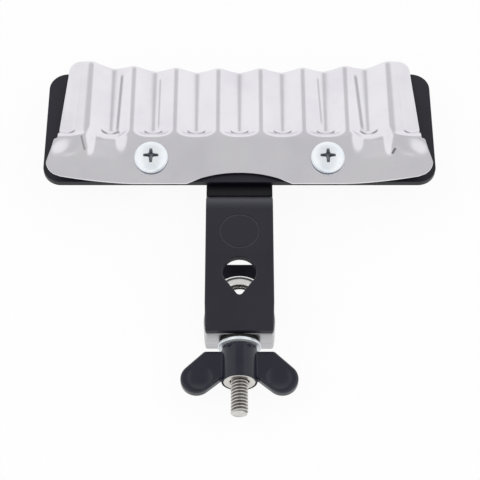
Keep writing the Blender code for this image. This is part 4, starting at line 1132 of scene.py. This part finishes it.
def sheet_end(y):
    """Half the sheet's width at y: the ridged part, then the wider flange with its round corners."""
    if y > NOTCH:
        back = (y - NOTCH) / (SHEET_BACK - NOTCH)
        return RIDGE_HALF_WIDTH + RIDGE_END_REACH + RIDGE_END_FLARE * (1 - back)
    corner_y = SHEET_FRONT + FLANGE_CORNER_RADIUS
    if y > corner_y:
        wide = FLANGE_HALF_WIDTH - FLANGE_END_TAPER * (y - corner_y) / (NOTCH - corner_y)
        into = max(0.0, y - (NOTCH - NOTCH_ROUND))
        return wide - (NOTCH_ROUND - sqrt(max(0.0, NOTCH_ROUND ** 2 - into ** 2)))
    drop = FLANGE_CORNER_RADIUS - sqrt(max(0.0, FLANGE_CORNER_RADIUS ** 2 - (corner_y - y) ** 2))
    return FLANGE_HALF_WIDTH - drop


def flange_height(y):
    """The flange's slope, from its front edge up to the trough lips."""
    return FLANGE_FRONT_RISE + FLANGE_RISE * within((y - SHEET_FRONT) / FLANGE_DEPTH)


def back_bow(x):
    """How far the back edge lies behind its middle: it bows back, then rounds off at the corner."""
    reach = abs(x)
    bow = BACK_BOW * (reach / RIDGE_HALF_WIDTH) ** BACK_BOW_POWER
    into = min(BACK_CORNER_RADIUS, max(0.0, reach - (sheet_end(SHEET_BACK) - BACK_CORNER_RADIUS)))
    return bow - (BACK_CORNER_RADIUS - sqrt(BACK_CORNER_RADIUS ** 2 - into ** 2))


def trough_depth(x, y):
    """How far the sheet is pressed down between two ridges, behind the lip."""
    from_ridge = 2 * abs((x / RIDGE_PITCH) % 1.0 - 0.5)
    down_slope = max(0.0, (from_ridge - RIDGE_CREST_SHARE) / (1 - RIDGE_CREST_SHARE))
    lip = LIP if abs(x) < LAST_RIDGE else LIP - OUTER_LIP_SHIFT
    down_end = lip_roll(within((y - lip) / TROUGH_END_LENGTH))
    wall = (1 - down_slope) ** TROUGH_END_ROUNDNESS + (1 - down_end) ** TROUGH_END_ROUNDNESS
    wall = min(1.0, wall ** (1 / TROUGH_END_ROUNDNESS))
    return RIDGE_HEIGHT * (1 - wall ** (TROUGH_FLOOR_ROUNDNESS if abs(x) < LAST_RIDGE else 1))


def lip_roll(share):
    """Down the wall at a trough's front end: a soft roll over the lip, then steeper to a crease."""
    return share * share * (1 + LIP_ROLL * (1 - share))


def dent(x, y, centre, size, turn, depth):
    """A soft elongated dent of elliptical outline."""
    dx, dy = x - centre[0], y - centre[1]
    along = dx * cos(turn) + dy * sin(turn)
    across = dy * cos(turn) - dx * sin(turn)
    reach = (along / size[0]) ** 2 + (across / size[1]) ** 2
    return depth * max(0.0, 1 - reach) ** 2


def drawn_in(x, y):
    """How far the press drew the flange down in front of the outer troughs, at x > 0."""
    across = smooth(min((x - PULL_INNER) / PULL_INNER_WALL, (PULL_OUTER - x) / PULL_OUTER_WALL))
    along = within(1 - (LIP - y) / PULL_REACH)
    return PULL_DEPTH * across * along * (1 - smooth((y - LIP) / TROUGH_END_LENGTH))


def sheet_height(column, row, x, y):
    """The sheet's underside at a point that the grid holds at (column, row) and the sheet at (x, y)."""
    dents = drawn_in(abs(x), y) + dent(abs(x), y, *END_DISH)
    back_share = within((row - LIP) / RIDGE_LENGTH)
    pressed = (flange_height(row) - trough_depth(column, row)) * (1 - RIDGE_BACK_FALL_SHARE * back_share)
    return SHEET_FLOOR + pressed - dents


def spaced(*stretches):
    """Places along a line, from stretches of (start, end, step) that follow each other."""
    places = []
    for start, end, step in stretches:
        count = max(1, round((end - start) / step))
        places += [start + (end - start) * index / count for index in range(count)]
    return places + [stretches[-1][1]]


def sheet_point(column, row):
    """Where the sheet holds a point of the grid: ends drawn out, front arched, back bowed."""
    x, y = column, row
    if abs(column) > LAST_RIDGE:
        out = (abs(column) - LAST_RIDGE) / (RIDGE_HALF_WIDTH - LAST_RIDGE)
        x = copysign(LAST_RIDGE + out * (sheet_end(row) - LAST_RIDGE), column)
    behind_screws = SCREW_Y + SCREW_HEAD_RADIUS
    if row < behind_screws:
        depth = behind_screws - SHEET_FRONT
        y = behind_screws - (behind_screws - row) * (depth - flange_front(x)) / depth
    trough_start = LIP + TROUGH_END_LENGTH
    y += back_bow(x) * max(0.0, (row - trough_start) / (SHEET_BACK - trough_start))
    return Vector((x, y, sheet_height(column, row, x, y)))


def guiro_sheet():
    """The pressed sheet: ridges, trough ends, arched and lifted flange, and its dents."""
    near, far, fold = LIP - LIP_BAND, LIP + LIP_BAND, NOTCH - NOTCH_STEP
    rows = spaced((SHEET_FRONT, near, FLANGE_ROW), (near, fold, LIP_ROW), (fold, far, LIP_ROW),
                  (far, SHEET_BACK, RIDGE_ROW))
    side, end = RIDGE_HALF_WIDTH, RIDGE_HALF_WIDTH - BACK_CORNER_RADIUS
    columns = spaced((-side, -end, END_COLUMN), (-end, end, SHEET_COLUMN), (end, side, END_COLUMN))
    bm = bmesh.new()
    bmesh.ops.create_grid(bm, x_segments=len(columns) - 1, y_segments=len(rows) - 1, size=1)
    for vert in bm.verts:
        column = columns[round((vert.co.x + 1) / 2 * (len(columns) - 1))]
        row = rows[round((vert.co.y + 1) / 2 * (len(rows) - 1))]
        vert.co = sheet_point(column, row)
    inside = [vert for vert in bm.verts if not vert.is_boundary]
    for again in range(SHEET_SMOOTHING):
        bmesh.ops.smooth_vert(bm, verts=inside, factor=0.5,
                              use_axis_x=False, use_axis_y=False, use_axis_z=True)
    for vert in bm.verts:
        vert.co.z += END_LIFT * end_bend(vert.co.x)
    outward(bm)
    if sum(face.normal.z for face in bm.faces) < 0:
        bmesh.ops.reverse_faces(bm, faces=bm.faces[:])
    obj = as_object(bm)
    thicken = obj.modifiers.new("thickness", "SOLIDIFY")
    thicken.thickness, thicken.offset, thicken.use_even_offset = SHEET_THICKNESS, 1, True
    sheet = applied(obj)
    for side in (-1, 1):
        hole = rod(SCREW_RADIUS + GAP, -HOLE_REACH, HOLE_REACH)
        place = (side * SCREW_X, SCREW_Y, SHEET_FLOOR + flange_height(SCREW_Y))
        sheet = combined(sheet, tilted(hole, place))
    return piece("guiro_sheet_pressing", soften(sheet, SHEET_EDGE, 2), "sheet_steel", "guiro_sheet", sharp=50,
                 weighted=False)


# Studio


def studio():
    """The camera of the photograph, and two soft lights that only light the object."""
    scene = bpy.context.scene
    scene.view_settings.view_transform = "Standard"
    camera = bpy.data.cameras.new("camera")
    camera.lens = CAMERA_LENS
    away = Vector((0, -cos(CAMERA_ELEVATION), sin(CAMERA_ELEVATION)))
    scene.camera = placed("camera", camera, CAMERA_AIM + away * CAMERA_DISTANCE, CAMERA_AIM)
    for name, side in (("left_softbox", -1), ("right_softbox", 1)):
        light = bpy.data.lights.new(name, "AREA")
        light.shape, light.size, light.energy = "SQUARE", SOFTBOX_SIZE, SOFTBOX_POWER
        x, y, z = SOFTBOX_PLACE
        placed(name, light, Vector((side * x, y, z)), SOFTBOX_AIM).visible_glossy = False
    room()
    pale_floor()


def placed(name, data, place, aim):
    """A camera or light at its place, turned towards what it looks at."""
    obj = bpy.data.objects.new(name, data)
    bpy.context.scene.collection.objects.link(obj)
    obj.location = place
    obj.rotation_euler = (place - aim).to_track_quat("Z", "Y").to_euler()
    return obj


def room():
    """White to the camera. Round the object, two wide bright sides, a bright horizon and a grey ceiling."""
    world = bpy.data.worlds.new("studio")
    bpy.context.scene.world = world
    world.use_nodes = True
    world.node_tree.nodes.clear()
    nodes = Nodes(world.node_tree)
    x, y, z = nodes.split(nodes.node("ShaderNodeTexCoord").outputs["Generated"])
    sides = abs(x).ramp(*SIDE_LIGHT_EDGE)
    height = z - y.ramp(*BACK_BLEND) * BACK_HORIZON_RISE
    bright = sides.math("MAXIMUM", height.ramp(HORIZON_TOP + HORIZON_BLEND, HORIZON_TOP))
    level = bright * (SIDE_LEVEL - CEILING_LEVEL) + CEILING_LEVEL
    around, white = [nodes.node("ShaderNodeBackground", None, {"Color": (1, 1, 1, 1), "Strength": strength})
                     for strength in (level, 1.0)]
    inputs = {0: nodes.seen_by("Camera", "Transmission"), 1: around.outputs[0], 2: white.outputs[0]}
    mix = nodes.node("ShaderNodeMixShader", None, inputs)
    nodes.node("ShaderNodeOutputWorld", None, {"Surface": mix.outputs[0]})


def pale_floor():
    """A floor just under the object, nearly white to what looks at it, that keeps a faint shadow."""
    bm = bmesh.new()
    bmesh.ops.create_grid(bm, x_segments=1, y_segments=1, size=FLOOR_SIZE)
    bmesh.ops.translate(bm, verts=bm.verts[:], vec=(0, 0, CAD_BOUNDS[0][2] - FLOOR_GAP))
    floor = as_object(bm, "floor")
    shader = Shader("floor", Base_Color=FLOOR_COLOUR, Roughness=0.9)
    seen = shader.seen_by("Camera", "Glossy", "Transmission") * FLOOR_GLOW
    glow = shader.node("ShaderNodeEmission")
    mix = shader.node("ShaderNodeMixShader", None,
                      {0: seen, 1: shader.surface.outputs[0], 2: glow.outputs[0]})
    shader.feed(shader.tree.nodes["Material Output"].inputs["Surface"], mix.outputs[0])
    floor.data.materials.append(shader.material)


clamp_strap()
lower_jaw()
clamp_block()
jaw_screws()
eye_bolt()
bolt_washers()
wing_grip()
nut_insert()
base_plate()
strap_rivets()
guiro_sheet()
sheet_screws()
studio()
